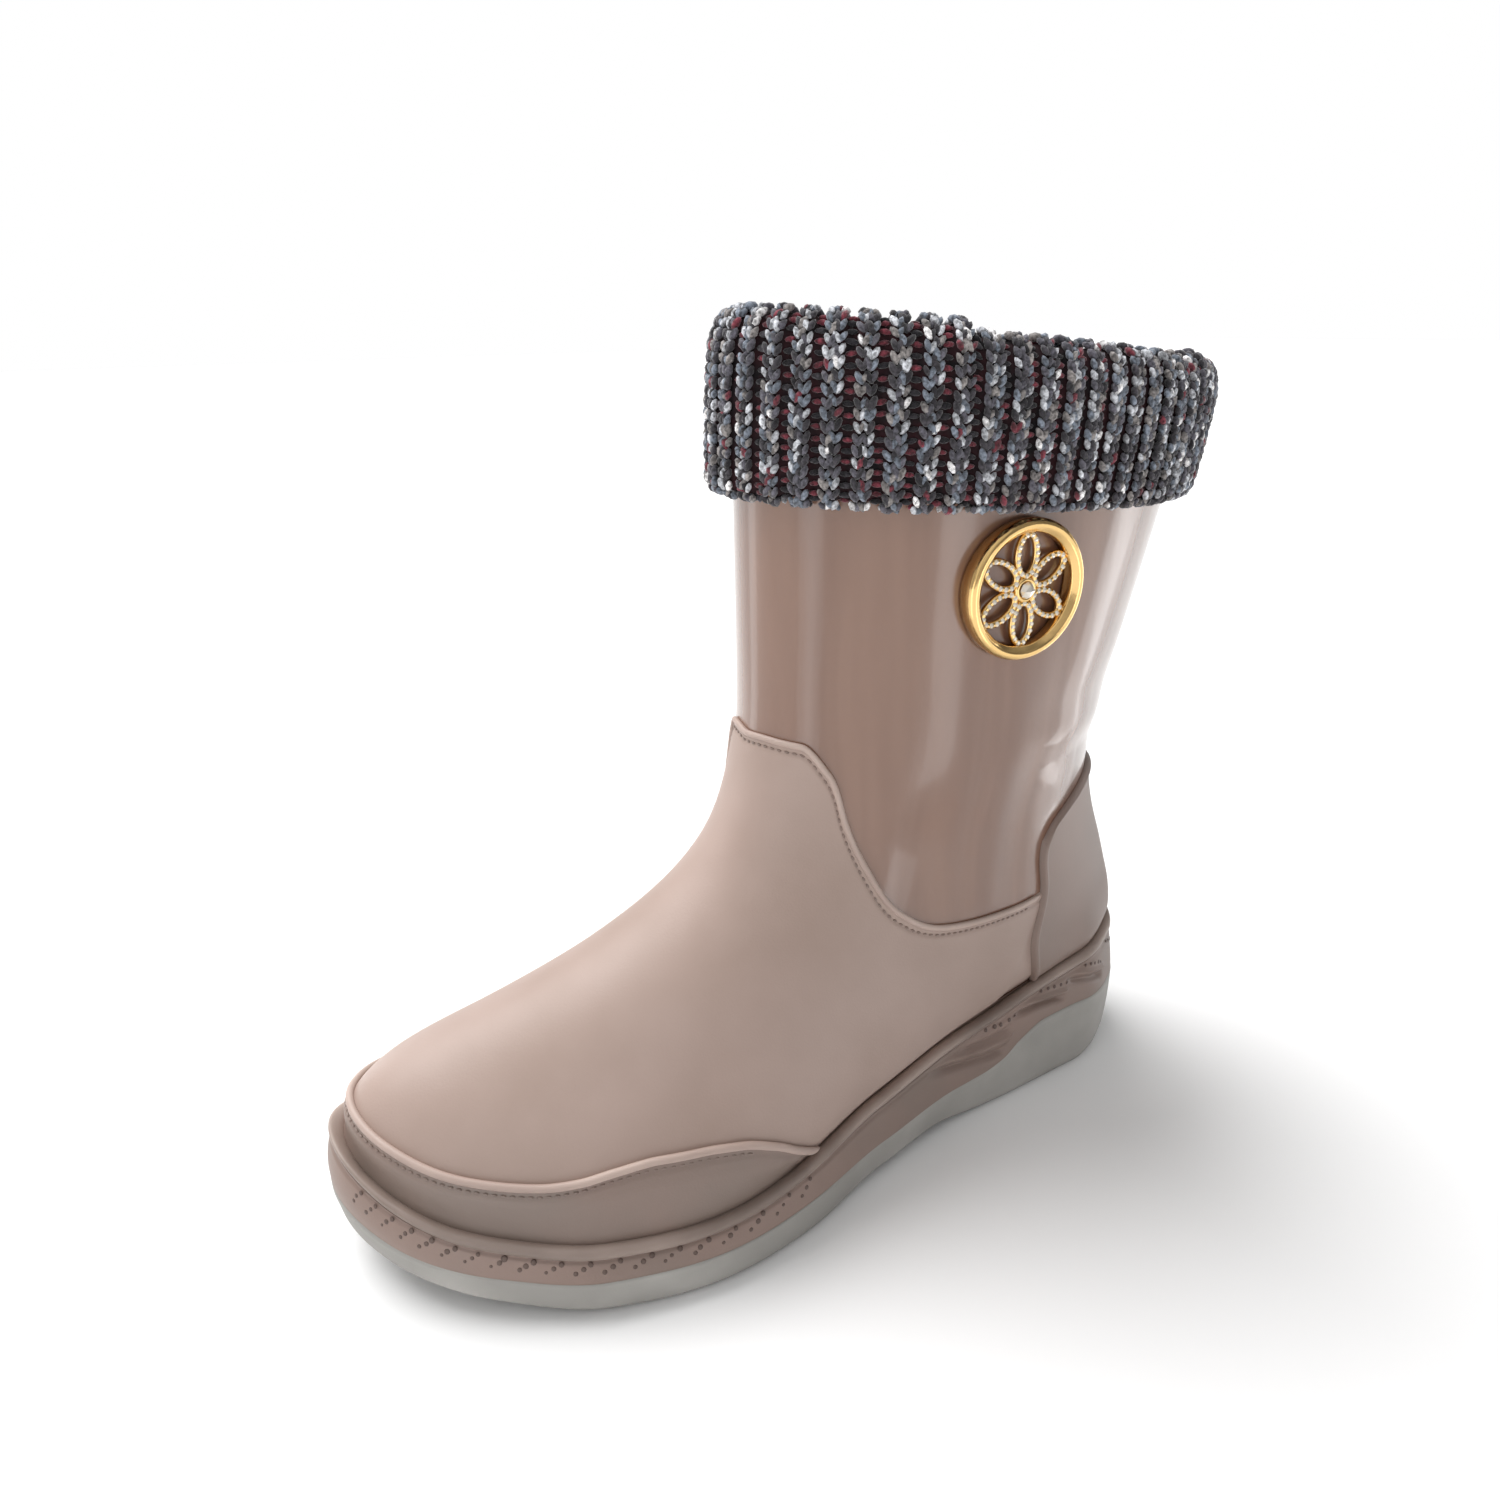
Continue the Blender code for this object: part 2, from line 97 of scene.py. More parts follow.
# loop parameter, upper's row at the panel's top line
GUARD = [(0.5454, 1.60), (0.591, 2.50), (0.636, 2.75), (0.682, 2.78), (0.727, 2.52), (0.773, 2.40), (1.0, 2.36)]
COUNTER = [(0.00, 7.30), (0.136, 7.28), (0.227, 7.20), (0.318, 6.95), (0.3637, 6.20)]

OVERLAY = 1.6           # gap and thickness of a panel that stands proud
INSOLE = 3.5
CUFF = 6.4              # knit outside the shaft
CUFF_LOW = 194.0        # turned-down edge
CUFF_TOP = 234.5
CUFF_IN = 168.0         # inner leg's lower edge
BADGE = 36.4            # across the ring
BADGE_RIM = 3.6
BADGE_DEEP = 4.4
BADGE_AT = (10.66, 0.556)    # row and loop parameter
LUG_DEEP = 2.5
LUG_GAP = 3.4
LUG_EDGE = 9.0          # whole edge left round the tread

# first station, last station, pitch of the chevron grooves
TREAD = [(18.0, 72.0, 10.6), (146.0, 252.0, 11.2)]

# millimetres from the sole's own zero to the frame's origin
ORIGIN = np.array([2.137, 6.581, 0.0])

# the photograph's camera: millimetres, degrees, and focal length in pixels of its 1500
CAMERA = {"azimuth": 59.34, "away": 288.1, "high": 239.9, "aim_off": 1.32, "down": 21.71, "roll": -1.03, "focal_px": 1088.4}

# reflected strips round the shaft: degrees from the camera, metres from the shaft's axis, width, radiance
STRIPS = [(-84, 0.25, 0.05, 1.3), (-28, 0.26, 0.07, 1.2), (44, 0.24, 0.06, 1.5), (112, 0.20, 0.05, 2.0), (175, 0.24, 0.06, 2)]

RIM_BEAD = 1.9          # radius of the rim's roll, millimetres
# loop parameter of a row of dots near the heel, share of the wall's height at its two ends
DOT_ROWS = [(0.362, 0.84, 0.70), (0.292, 0.82, 0.66), (0.225, 0.80, 0.62), (0.160, 0.78, 0.62)]
GREY_RISE = 0.14        # share of the sidewall that the outsole's grey skin covers

# loop parameter, upper's row along the galosh's bead
BEAD_LINE = [
    (0.00, 5.20), (0.30, 5.10), (0.355, 5.10), (0.44, 5.25), (0.52, 5.50), (0.60, 6.05), (0.68, 6.85),
    (0.75, 7.65), (0.80, 8.42), (0.86, 8.84), (0.93, 8.84), (1.00, 8.80)]

# loop parameter, upper's row along the toe guard's bead
GUARD_LINE = [
    (0.530, 1.20), (0.545, 1.62), (0.560, 2.02), (0.585, 2.48), (0.615, 2.74), (0.645, 2.81), (0.675, 2.80),
    (0.705, 2.69), (0.730, 2.54), (0.760, 2.43), (0.795, 2.39), (0.860, 2.36), (1.000, 2.36)]

# upper's row, loop parameter of the heel counter's front edge
COUNTER_EDGE = [
    (0.90, 0.290), (2.20, 0.312), (3.70, 0.335), (5.15, 0.350), (6.20, 0.368), (6.60, 0.362), (7.00, 0.330),
    (7.40, 0.300)]

# share of the way from the heel's middle to that edge, upper's row of the top edge
COUNTER_TOP = [(0.00, 7.32), (0.35, 7.30), (0.65, 7.20), (0.85, 6.98), (0.95, 6.72), (1.00, 6.35)]

# knit's middle layer: distance outside the shaft, mean height
KNIT_PATH = [
    (1.4, 195.8), (3.4, 194.7), (5.0, 195.5), (5.7, 198.0), (5.6, 206.0), (5.1, 217.0), (4.0, 226.0),
    (1.8, 231.3), (-1.4, 233.2), (-4.7, 231.6), (-6.4, 227.0), (-6.8, 218.0), (-6.8, 190.0), (-6.6, 171.5),
    (-5.2, 169.6), (-3.6, 170.2)]

# loop parameter and share of the wall's height at each end of a sidewall wave, depth, half width
WAVES = [
    (0.430, 0.84, 0.345, 0.30, -1.9, 0.075), (0.410, 0.84, 0.338, 0.46, 1.1, 0.05),
    (0.395, 0.80, 0.338, 0.60, -1.2, 0.045), (0.335, 0.80, 0.268, 0.40, -1.9, 0.075),
    (0.318, 0.82, 0.262, 0.54, 1.0, 0.05), (0.262, 0.76, 0.196, 0.40, -1.7, 0.075),
    (0.246, 0.80, 0.190, 0.53, 0.9, 0.05)]


def curve(xs, ys, at):
    """Monotone cubic through a short table."""
    xs, ys = np.asarray(xs, float), np.asarray(ys, float)
    step = np.diff(xs)
    rise = np.diff(ys) / step
    slope = np.concatenate([rise[:1], np.zeros(len(xs) - 2), rise[-1:]])
    same = np.nonzero(rise[:-1] * rise[1:] > 0)[0]
    w1, w2 = 2 * step[same + 1] + step[same], step[same + 1] + 2 * step[same]
    slope[same + 1] = (w1 + w2) / (w1 / rise[same] + w2 / rise[same + 1])
    at = np.clip(at, xs[0], xs[-1])
    i = np.clip(np.searchsorted(xs, at, side='right') - 1, 0, len(step) - 1)
    u = (at - xs[i]) / step[i]
    return ((2 * u**3 - 3 * u**2 + 1) * ys[i] + (3 * u**2 - 2 * u**3) * ys[i + 1]
            + ((u**3 - 2 * u**2 + u) * slope[i] + (u**3 - u**2) * slope[i + 1]) * step[i])


def column(table, k):
    return np.array([row[k] for row in table], float)


def sole(k, share):
    return curve(column(SOLE, 0), column(SOLE, k), share)


def shift(share):
    return curve(column(OUTLINE, 0), column(OUTLINE, 2), share)


def dense_outline(side):
    """Stations, offsets and outward normals of one side of the outsole's edge."""
    tau = np.linspace(0, 1, 501)
    share = (1 - np.cos(pi * tau)) / 2
    table_tau = np.arccos(1 - 2 * column(OUTLINE, 0)) / pi
    s = LENGTH * share
    x = shift(share) + side * curve(table_tau, column(OUTLINE, 1), tau) * BALL / 2
    along = np.stack([np.gradient(s), np.gradient(x)], 1)
    along /= np.linalg.norm(along, axis=1)[:, None]
    out = np.stack([-along[:, 1], along[:, 0]], 1) * side
    out[0], out[-1] = (-1, 0), (1, 0)
    for _ in range(12):
        out[1:-1] = (out[:-2] + 2 * out[1:-1] + out[2:]) / 4
    out /= np.linalg.norm(out, axis=1)[:, None]
    return s, x, out


EDGE = {side: dense_outline(side) for side in (1, -1)}


INSETS = np.arange(0.0, 14.0)


def edge_x(side, share, inset):
    """Offset of the edge moved in by inset, at a share of the way between the moved ends."""
    s, x, out = EDGE[side]
    rings = np.array([np.interp(i + (LENGTH - 2 * i) * share, s - out[:, 0] * i, x - out[:, 1] * i) for i in INSETS])
    inset = np.clip(inset, 0, INSETS[-1] - 0.001) + 0 * share
    low = inset.astype(int)
    pick = lambda i: np.take_along_axis(rings, i[None], 0)[0]
    return pick(low) * (1 - inset + low) + pick(low + 1) * (inset - low)


def fold(t):
    """Side and share along the side for a loop parameter 0..2, lateral side first."""
    t = np.mod(t, 2.0)
    return np.where(t <= 1, 1, -1), np.where(t <= 1, t, 2 - t)


def loop(inset, height, t):
    """A ring of the sole: inset from the outline, height given by the share of length."""
    side, tau = fold(t)
    share = (1 - np.cos(pi * tau)) / 2
    ins = inset(share) if callable(inset) else inset + 0 * share
    s = ins + (LENGTH - 2 * ins) * share
    x = np.where(side > 0, edge_x(1, share, ins), edge_x(-1, share, ins))
    return np.stack([x, LENGTH / 2 - s, height(s / LENGTH)], -1)


def row_value(k, v):
    """Column k of the upper's table at row v, eased across its neighbours."""
    rows = np.arange(len(UPPER), dtype=float)
    reach = np.minimum(0.5, np.minimum(np.abs(v - RIM_ROW), np.abs(len(UPPER) - 1 - v)))
    reach = np.minimum(reach, v)
    total = 0
    for j, weight in zip((-2, -1, 0, 1, 2), (1, 2, 3, 2, 1)):
        total = total + weight * curve(rows, column(UPPER, k), v + reach * j / 2)
    return total / 9


def upper(v, t):
    """The upper's outer face; v is a row of the table, t goes round the loop."""
    v, t = np.broadcast_arrays(np.asarray(v, float), np.asarray(t, float))
    side, tau = fold(t)
    share = (1 - np.cos(pi * tau)) / 2
    fs, fz, bs, bz, half, shaft, inset, pull = [row_value(k, v) for k in range(8)]
    s = bs + (fs - bs) * share
    foot = FEATHER + (LENGTH - 2 * FEATHER) * share
    xf = np.where(side > 0, edge_x(1, share, inset), edge_x(-1, share, inset))
    xs = shift(np.clip(s / LENGTH, 0, 1)) + side * half * np.sin(pi * tau)
    x = (1 - shaft) * xf + shaft * xs
    sag = sole(4, foot / LENGTH) - (sole(4, 0.0) * (1 - share) + sole(4, 1.0) * share)
    z = bz + (fz - bz) * share + pull * sag
    under = np.clip(RIM_ROW - v, 0, 1)
    z = z * (1 - under) + sole(3, foot / LENGTH) * under
    return np.stack([x, LENGTH / 2 - s, z], -1)


def upper_normal(v, t):
    e = 1e-3
    v, t = np.broadcast_arrays(np.asarray(v, float), np.asarray(t, float))
    top = len(UPPER) - 1
    dv = upper(np.minimum(v + 20 * e, top), t) - upper(np.maximum(v - 20 * e, 0), t)
    dt = upper(v, t + 8 * e) - upper(v, t - 8 * e)
    n = np.cross(dv, dt)
    n /= np.linalg.norm(n, axis=-1)[..., None]
    mid = upper(v, 0 * t + 0.5) * 0.5 + upper(v, 0 * t + 1.5) * 0.5
    return n * np.where(((upper(v, t) - mid) * n).sum(-1) < 0, -1, 1)[..., None]


def side_inset(part):
    """Sidewall's inset where it stands at this part of the way from outsole edge to rim (1) or ground (-1)."""
    def at(share):
        low = (sole(2, share) - sole(1, share)) / (sole(4, share) - sole(1, share))
        k = low + (1 - low) * part if part >= 0 else low * (1 + part)
        return curve(column(WALL_LEAN, 0), column(WALL_LEAN, 1), k)
    return at


def badge_frame():
    """Centre, axes and bend of the shaft under the badge."""
    v, t = np.array([BADGE_AT[0]]), np.array([BADGE_AT[1]])
    centre, n = upper(v, t)[0], upper_normal(v, t)[0]
    right = np.cross([0, 0, 1.0], n)
    right /= np.linalg.norm(right)
    up = np.cross(n, right)
    vv, tt = np.meshgrid(v[0] + np.linspace(-0.7, 0.7, 9), t[0] + np.linspace(-0.12, 0.12, 9))
    near = upper(vv, tt).reshape(-1, 3) - centre
    a, b = near @ right, near @ up
    bend = np.linalg.lstsq(np.stack([a * a, b * b, a * b, a, b], 1), near @ n, rcond=None)[0]
    return centre, right, up, n, bend


def on_badge(a, b, height, lie=0.0):
    """Point of the badge; height over its plane, or with lie 1 over the shaft's own face."""
    centre, right, up, n, bend = badge_frame()
    fall = np.stack([a * a, b * b, a * b, a, b], -1) @ bend
    h = height + lie * fall
    return centre + a[..., None] * right + b[..., None] * up + h[..., None] * n


def mirrored(t):
    """Loop parameter as if on the outer side."""
    return 1 - np.abs(1 - np.mod(t, 2.0))


def on_line(table, t):
    """Row of a line that runs alike on both sides, but falls a little sooner on the inner side."""
    inner = 0.08 * step((t - 1.0) / 0.1) * step((1.5 - t) / 0.25)
    return curve(column(table, 0), column(table, 1), mirrored(t) - inner)


def row_height(v, t):
    """Millimetres of the upper's face per row."""
    return np.linalg.norm(upper(v + 0.02, t) - upper(v - 0.02, t), axis=-1) / 0.04


def column_width(v, t):
    """Millimetres of the upper's face per unit of loop parameter."""
    return np.linalg.norm(upper(v, t + 0.004) - upper(v, t - 0.004), axis=-1) / 0.008


def step(x):
    """Smooth rise from 0 to 1 over 0..1."""
    x = np.clip(x, 0, 1)
    return x * x * (3 - 2 * x)


def bump(x):
    """Bell of height and half width 1."""
    return np.exp(-1.4 * x * x)


def grid_quads(rows, cols, around, closed):
    r = np.arange(rows if closed else rows - 1)[:, None]
    c = np.arange(cols if around else cols - 1)[None]
    next_r, next_c = (r + 1) % rows, (c + 1) % cols
    return np.stack([r * cols + c, r * cols + next_c, next_r * cols + next_c, next_r * cols + c], -1).reshape(-1, 4)


def build(name, points, faces, colours=None):
    """Mesh object from points in millimetres and faces of one size, turned outwards by its signed volume."""
    points = (points - ORIGIN) / 1000
    a, b, c = (points[faces[:, i]] for i in (0, 1, 2))
    volume = (a * np.cross(b, c)).sum()
    if faces.shape[1] == 4:
        volume += (a * np.cross(c, points[faces[:, 3]])).sum()
    if volume < 0:
        faces = faces[:, ::-1]
    mesh = bpy.data.meshes.new(name)
    mesh.vertices.add(len(points))
    mesh.vertices.foreach_set("co", points.astype(np.float32).ravel())
    mesh.loops.add(faces.size)
    mesh.loops.foreach_set("vertex_index", faces.astype(np.int32).ravel())
    mesh.polygons.add(len(faces))
    mesh.polygons.foreach_set("loop_start", np.arange(0, faces.size, faces.shape[1], dtype=np.int32))
    mesh.update(calc_edges=True)
    mesh.polygons.foreach_set("use_smooth", np.ones(len(faces), bool))
    if colours is not None:
        layer = mesh.color_attributes.new("yarn", "FLOAT_COLOR", "POINT")
        layer.data.foreach_set("color", colours.astype(np.float32).ravel())
    mesh.validate()
    obj = bpy.data.objects.new(name, mesh)
    bpy.context.scene.collection.objects.link(obj)
    return obj


def ring_shell(name, rows):
    """Closed shell from rings that run out, over and back inside."""
    grid = np.array(rows)
    return build(name, grid.reshape(-1, 3), grid_quads(*grid.shape[:2], True, True))


def panel(name, outer, inner):
    """Closed panel between two grids, its two ends closed by strips."""
    grid = np.concatenate([outer, inner[::-1]])
    rows, cols = grid.shape[:2]
    i = np.arange(rows // 2 - 1)
    first = np.stack([i, i + 1, rows - 2 - i, rows - 1 - i], -1) * cols
    quads = np.concatenate([grid_quads(rows, cols, False, True), first[:, ::-1], first + cols - 1])
    return build(name, grid.reshape(-1, 3), quads)


def pebble(levels):
    """Unit ball from an octahedron cut finer: points and triangles."""
    points = np.array([(1, 0, 0), (0, 1, 0), (-1, 0, 0), (0, -1, 0), (0, 0, 1), (0, 0, -1)], float)
    tris = np.array([(i, (i + 1) % 4, 4) for i in range(4)] + [((i + 1) % 4, i, 5) for i in range(4)])
    for _ in range(levels):
        pairs = np.sort(np.concatenate([tris[:, [0, 1]], tris[:, [1, 2]], tris[:, [2, 0]]]), axis=1)
        unique, where = np.unique(pairs, axis=0, return_inverse=True)
        mid = points[unique].mean(1)
        ab, bc, ca = where.reshape(3, -1) + len(points)
        points = np.concatenate([points, mid / np.linalg.norm(mid, axis=1)[:, None]])
        a, b, c = tris.T
        tris = np.concatenate([np.stack(q, 1) for q in ((a, ab, ca), (ab, b, bc), (ca, bc, c), (ab, bc, ca))])
    return points, tris


def scatter(name, centres, axes, levels=1, colours=None):
    """One mesh of many stretched balls; axes holds three half axes a ball."""
    points, tris = pebble(levels)
    verts = centres[:, None] + np.einsum("pk,nkx->npx", points, axes)
    faces = tris[None] + np.arange(len(centres))[:, None, None] * len(points)
    if colours is not None:
        colours = np.repeat(colours, len(points), axis=0)
    return build(name, verts.reshape(-1, 3), faces.reshape(-1, 3), colours)


def tube(points, radius, around=10):
    """Rings of a round tube along a closed path of points, each ring square to the path."""
    ahead = np.roll(points, -1, 0) - np.roll(points, 1, 0)
    ahead /= np.linalg.norm(ahead, axis=1)[:, None]
    side = np.cross(ahead, [0.83, 0.21, 0.51])
    side /= np.linalg.norm(side, axis=1)[:, None]
    up = np.cross(ahead, side)
    a = np.arange(around) * 2 * pi / around
    return points[:, None] + radius * (np.cos(a)[:, None] * side[:, None] + np.sin(a)[:, None] * up[:, None])


def welt(name, line, start, end, below, lift, radius):
    """Round cord that lies along a line of the upper: rings square to the path, drawn in to nothing at both ends."""
    t = np.linspace(start, end, 520)
    v = on_line(line, t)
    v = v - below / row_height(v, t)
    path = upper(v, t) + lift * upper_normal(v, t)
    ahead = np.gradient(path, axis=0)
    ahead /= np.linalg.norm(ahead, axis=1)[:, None]
    out = upper_normal(v, t)
    across = np.cross(out, ahead)
    size = radius * np.sqrt(np.clip(np.minimum(t - start, end - t) / 0.012, 0.02, 1))
    a = (np.arange(14)[:, None, None] + 0.5) * 2 * pi / 14
    rings = path + size[:, None] * (np.cos(a) * out + np.sin(a) * across)
    return panel(name, rings[:7], rings[:6:-1])


def linear(code):
    """Linear colour with alpha of an sRGB hex value such as 99806E."""
    srgb = np.array([int(code[i:i + 2], 16) for i in (0, 2, 4)]) / 255
    low = srgb / 12.92
    return (*np.where(srgb <= 0.04045, low, ((srgb + 0.055) / 1.055) ** 2.4), 1.0)


def add(tree, kind, inputs=(), **settings):
    """Adds a node, sets its properties, and sets or links its inputs."""
    made = tree.nodes.new(kind)
    for key, value in settings.items():
        setattr(made, key, value)
    for key, value in dict(inputs).items():
        if isinstance(value, bpy.types.NodeSocket):
            tree.links.new(value, made.inputs[key])
        else:
            made.inputs[key].default_value = value
    return made


def material(name, shader):
    """New material with its Principled shader's own sockets set; returns it, its tree and the shader."""
    made = bpy.data.materials.new(name)
    made.use_nodes = True
    tree = made.node_tree
    principled = tree.nodes["Principled BSDF"]
    for key, value in shader.items():
        principled.inputs[key].default_value = value
    return made, tree, principled


def mottle(tree, coords, colour, other, scale, detail=3.0, low=0.35, high=0.65):
    """Colour that drifts between two tones with a soft noise."""
    noise = add(tree, "ShaderNodeTexNoise", {"Vector": coords, "Scale": scale, "Detail": detail})
    ramp = add(tree, "ShaderNodeMapRange", {"Value": noise.outputs["Fac"], "From Min": low, "From Max": high})
    mix = add(tree, "ShaderNodeMix", {"Factor": ramp.outputs[0]}, data_type="RGBA")
    mix.inputs[6].default_value, mix.inputs[7].default_value = colour, other
    return mix.outputs[2]


def relief(tree, principled, height, strength, distance, under=None):
    """Bump from a height; under is a bump that it lies on."""
    made = add(tree, "ShaderNodeBump", {"Height": height, "Strength": strength, "Distance": distance})
    if under:
        tree.links.new(under.outputs[0], made.inputs["Normal"])
    tree.links.new(made.outputs[0], principled.inputs["Normal"])
    return made


def glossy_pvc():
    """PVC dipped and fired against a polished mould: an even, wet shine over a soft, slightly wavy wall."""
    tone = bpy.context.scene.boot_colours
    made, tree, shader = material(
        "Glossy moulded PVC", {"Roughness": 0.26, "IOR": 1.53, "Coat Weight": 0.6, "Coat Roughness": 0.1})
    coords = add(tree, "ShaderNodeTexCoord").outputs["Object"]
    # Painted reflections: upright streaks some 12 mm apart, a shade lighter or darker, stand in for the shine's streaky
    # reflections.
    painted_reflection_streaks = add(tree, "ShaderNodeMapping", {"Vector": coords, "Scale": (80, 80, 9)})
    streak = add(tree, "ShaderNodeTexNoise", {"Vector": painted_reflection_streaks.outputs[0], "Scale": 1.0, "Detail": 2.0, "Distortion": 0.3})
    level = add(tree, "ShaderNodeMapRange", {"Value": streak.outputs["Fac"], "From Min": 0.32, "From Max": 0.68})
    mix = add(tree, "ShaderNodeMix", {"Factor": level.outputs[0]}, data_type="RGBA")
    mix.inputs[6].default_value, mix.inputs[7].default_value = linear(tone.shaft), linear(tone.shaft_painted_streak)
    tree.links.new(mix.outputs[2], shader.inputs["Base Color"])
    # The mould's long vertical waves, 30 mm apart, bend the reflections into streaks.
    tall = add(tree, "ShaderNodeMapping", {"Vector": coords, "Scale": (40, 40, 5)})
    wave = add(tree, "ShaderNodeTexNoise", {"Vector": tall.outputs[0], "Scale": 1.0, "Detail": 1.0})
    soft = relief(tree, shader, wave.outputs["Fac"], 1.0, 0.005)
    # Orange peel of the dipped skin, about 1.5 mm.
    skin = add(tree, "ShaderNodeTexNoise", {"Vector": coords, "Scale": 620, "Detail": 1.0})
    relief(tree, shader, skin.outputs["Fac"], 0.12, 0.0003, soft)
    return made


def satin_pvc(name, colour, shade, roughness=0.5, grain=0.16):
    """PVC moulded against a sandblasted wall: a fine dull grain of about 0.6 mm and a broad soft highlight."""
    made, tree, shader = material(name, {"Roughness": roughness, "IOR": 1.5})
    coords = add(tree, "ShaderNodeTexCoord").outputs["Object"]
    tree.links.new(mottle(tree, coords, linear(colour), linear(shade), 26), shader.inputs["Base Color"])
    fine = add(tree, "ShaderNodeTexNoise", {"Vector": coords, "Scale": 1500, "Detail": 2.0})
    under = relief(tree, shader, fine.outputs["Fac"], grain, 0.0003)
    broad = add(tree, "ShaderNodeTexNoise", {"Vector": coords, "Scale": 45, "Detail": 2.0})
    relief(tree, shader, broad.outputs["Fac"], 0.1, 0.0012, under)
    return made


def knit_yarn():
    """Bulky acrylic yarn, spun from dyed and undyed strands: each stitch has its own tone, with fine plies across it."""
    made, tree, shader = material("Marled knitting yarn", {"Roughness": 0.92, "Sheen Weight": 0.35, "Sheen Roughness": 0.5})
    coords = add(tree, "ShaderNodeTexCoord").outputs["Object"]
    strand = add(tree, "ShaderNodeVertexColor", layer_name="yarn")
    flecks = add(tree, "ShaderNodeTexNoise", {"Vector": coords, "Scale": 1100, "Detail": 2.0})
    level = add(
        tree, "ShaderNodeMapRange",
        {"Value": flecks.outputs["Fac"], "From Min": 0.34, "From Max": 0.66, "To Min": 0.45, "To Max": 1.8})
    mix = add(tree, "ShaderNodeVectorMath", {0: strand.outputs["Color"], 1: level.outputs[0]}, operation="MULTIPLY")
    tree.links.new(mix.outputs[0], shader.inputs["Base Color"])
    plies = add(tree, "ShaderNodeTexNoise", {"Vector": coords, "Scale": 2200, "Detail": 1.0})
    relief(tree, shader, plies.outputs["Fac"], 0.6, 0.0004)
    return made


def knit_ground():
    """The dark strands deep between the ribs, too shaded to read as stitches."""
    made, tree, shader = material("Dark knit ground", {"Roughness": 0.95})
    coords = add(tree, "ShaderNodeTexCoord").outputs["Object"]
    tree.links.new(mottle(tree, coords, linear("1C171A"), linear("3B1A20"), 260), shader.inputs["Base Color"])
    return made


def jersey_lining():
    """Brushed polyester jersey: 1 mm ribs with a short nap that softens the edges."""
    tone = bpy.context.scene.boot_colours
    made, tree, shader = material("Brushed jersey lining", {"Roughness": 0.95, "Sheen Weight": 0.4})
    coords = add(tree, "ShaderNodeTexCoord").outputs["Object"]
    tree.links.new(mottle(tree, coords, linear(tone.lining), linear(tone.lining_shade), 320), shader.inputs["Base Color"])
    nap = add(tree, "ShaderNodeTexNoise", {"Vector": coords, "Scale": 1300, "Detail": 3.0})
    relief(tree, shader, nap.outputs["Fac"], 0.7, 0.0008)
    return made


def gold_plate():
    """Cast zinc, polished and flash plated with pale gold: sharp bright reflections with tiny polishing waves."""
    tone = bpy.context.scene.boot_colours
    made, tree, shader = material("Polished gold plate", {"Base Color": linear(tone.gold), "Metallic": 1.0, "Roughness": 0.17})
    coords = add(tree, "ShaderNodeTexCoord").outputs["Object"]
    wave = add(tree, "ShaderNodeTexNoise", {"Vector": coords, "Scale": 240, "Detail": 2.0})
    relief(tree, shader, wave.outputs["Fac"], 0.25, 0.0004)
    return made


def cut_stone():
    """Foiled glass stones: clear, bright facets with a cold sparkle."""
    made, tree, shader = material("Foiled glass stone", {"Base Color": linear("E9E2D6"), "Roughness": 0.06, "IOR": 1.6, "Metallic": 0.45, "Coat Weight": 1.0})
    return made


class BootSizes(bpy.types.PropertyGroup):
    """Sizes of the details that only the visual model has."""

    ribs: bpy.props.IntProperty(name="Knit ribs", description="Vertical ribs round the cuff", default=55, min=12, max=90)
    stitch_rise: bpy.props.FloatProperty(
        name="Stitch height", description="Height of one knitted stitch, in millimetres", default=2.4, min=1.5, max=8)
    rib_depth: bpy.props.FloatProperty(
        name="Rib depth", description="How far a rib stands over the groove beside it, in millimetres", default=1.7, min=0, max=6)
    bead: bpy.props.FloatProperty(
        name="Bead", description="Radius of the rolled bead on the galosh and toe guard, in millimetres", default=0.85, min=0.3, max=3)
    seam_pitch: bpy.props.FloatProperty(
        name="Seam pitch", description="Distance between moulded stitches, in millimetres", default=2.3, min=1, max=8)
    stone: bpy.props.FloatProperty(
        name="Stone", description="Diameter of a badge stone, in millimetres", default=1.5, min=0.5, max=4)


class BootColours(bpy.types.PropertyGroup):
    """Colours as sRGB hex values."""

    shaft: bpy.props.StringProperty(name="Shaft", description="Glossy shaft", default="8C6A58")
    # Darker tone of the painted reflection streaks on the shaft.
    shaft_painted_streak: bpy.props.StringProperty(name="Shaft shade", description="Darker streaks in the shaft", default="7C5A49")
    galosh: bpy.props.StringProperty(name="Galosh", description="Satin foot part", default="AE988E")
    galosh_shade: bpy.props.StringProperty(name="Galosh shade", description="Darker drift in the galosh", default="A58F84")
    # Lighter than the galosh: partly a painted highlight of light from above catching the bead, partly wear.
    bead: bpy.props.StringProperty(name="Bead", description="Rolled bead on the galosh and toe guard", default="C3AEA3")
    # Darker than the galosh, in part painted shade of the toe guard's hollow face.
    guard: bpy.props.StringProperty(name="Toe guard", description="Toe guard and heel counter", default="907A70")
    counter: bpy.props.StringProperty(name="Heel counter", description="Panel round the heel", default="8A786F")
    sidewall: bpy.props.StringProperty(name="Sidewall", description="Sole's sidewall and rim", default="85756C")
    # Lighter than the sidewall: a painted highlight along the rim's rounded top.
    rim: bpy.props.StringProperty(name="Rim", description="Rolled rim on top of the sidewall", default="B19E94")
    outsole: bpy.props.StringProperty(name="Outsole", description="Grey running sole", default="B4B1AC")
    gold: bpy.props.StringProperty(name="Gold", description="Badge plating", default="E3BE80")
    lining: bpy.props.StringProperty(name="Lining", description="Jersey inside", default="A3978C")
    lining_shade: bpy.props.StringProperty(name="Lining shade", description="Darker drift in the jersey", default="8A7F75")


def sizes():
    return bpy.context.scene.boot_sizes


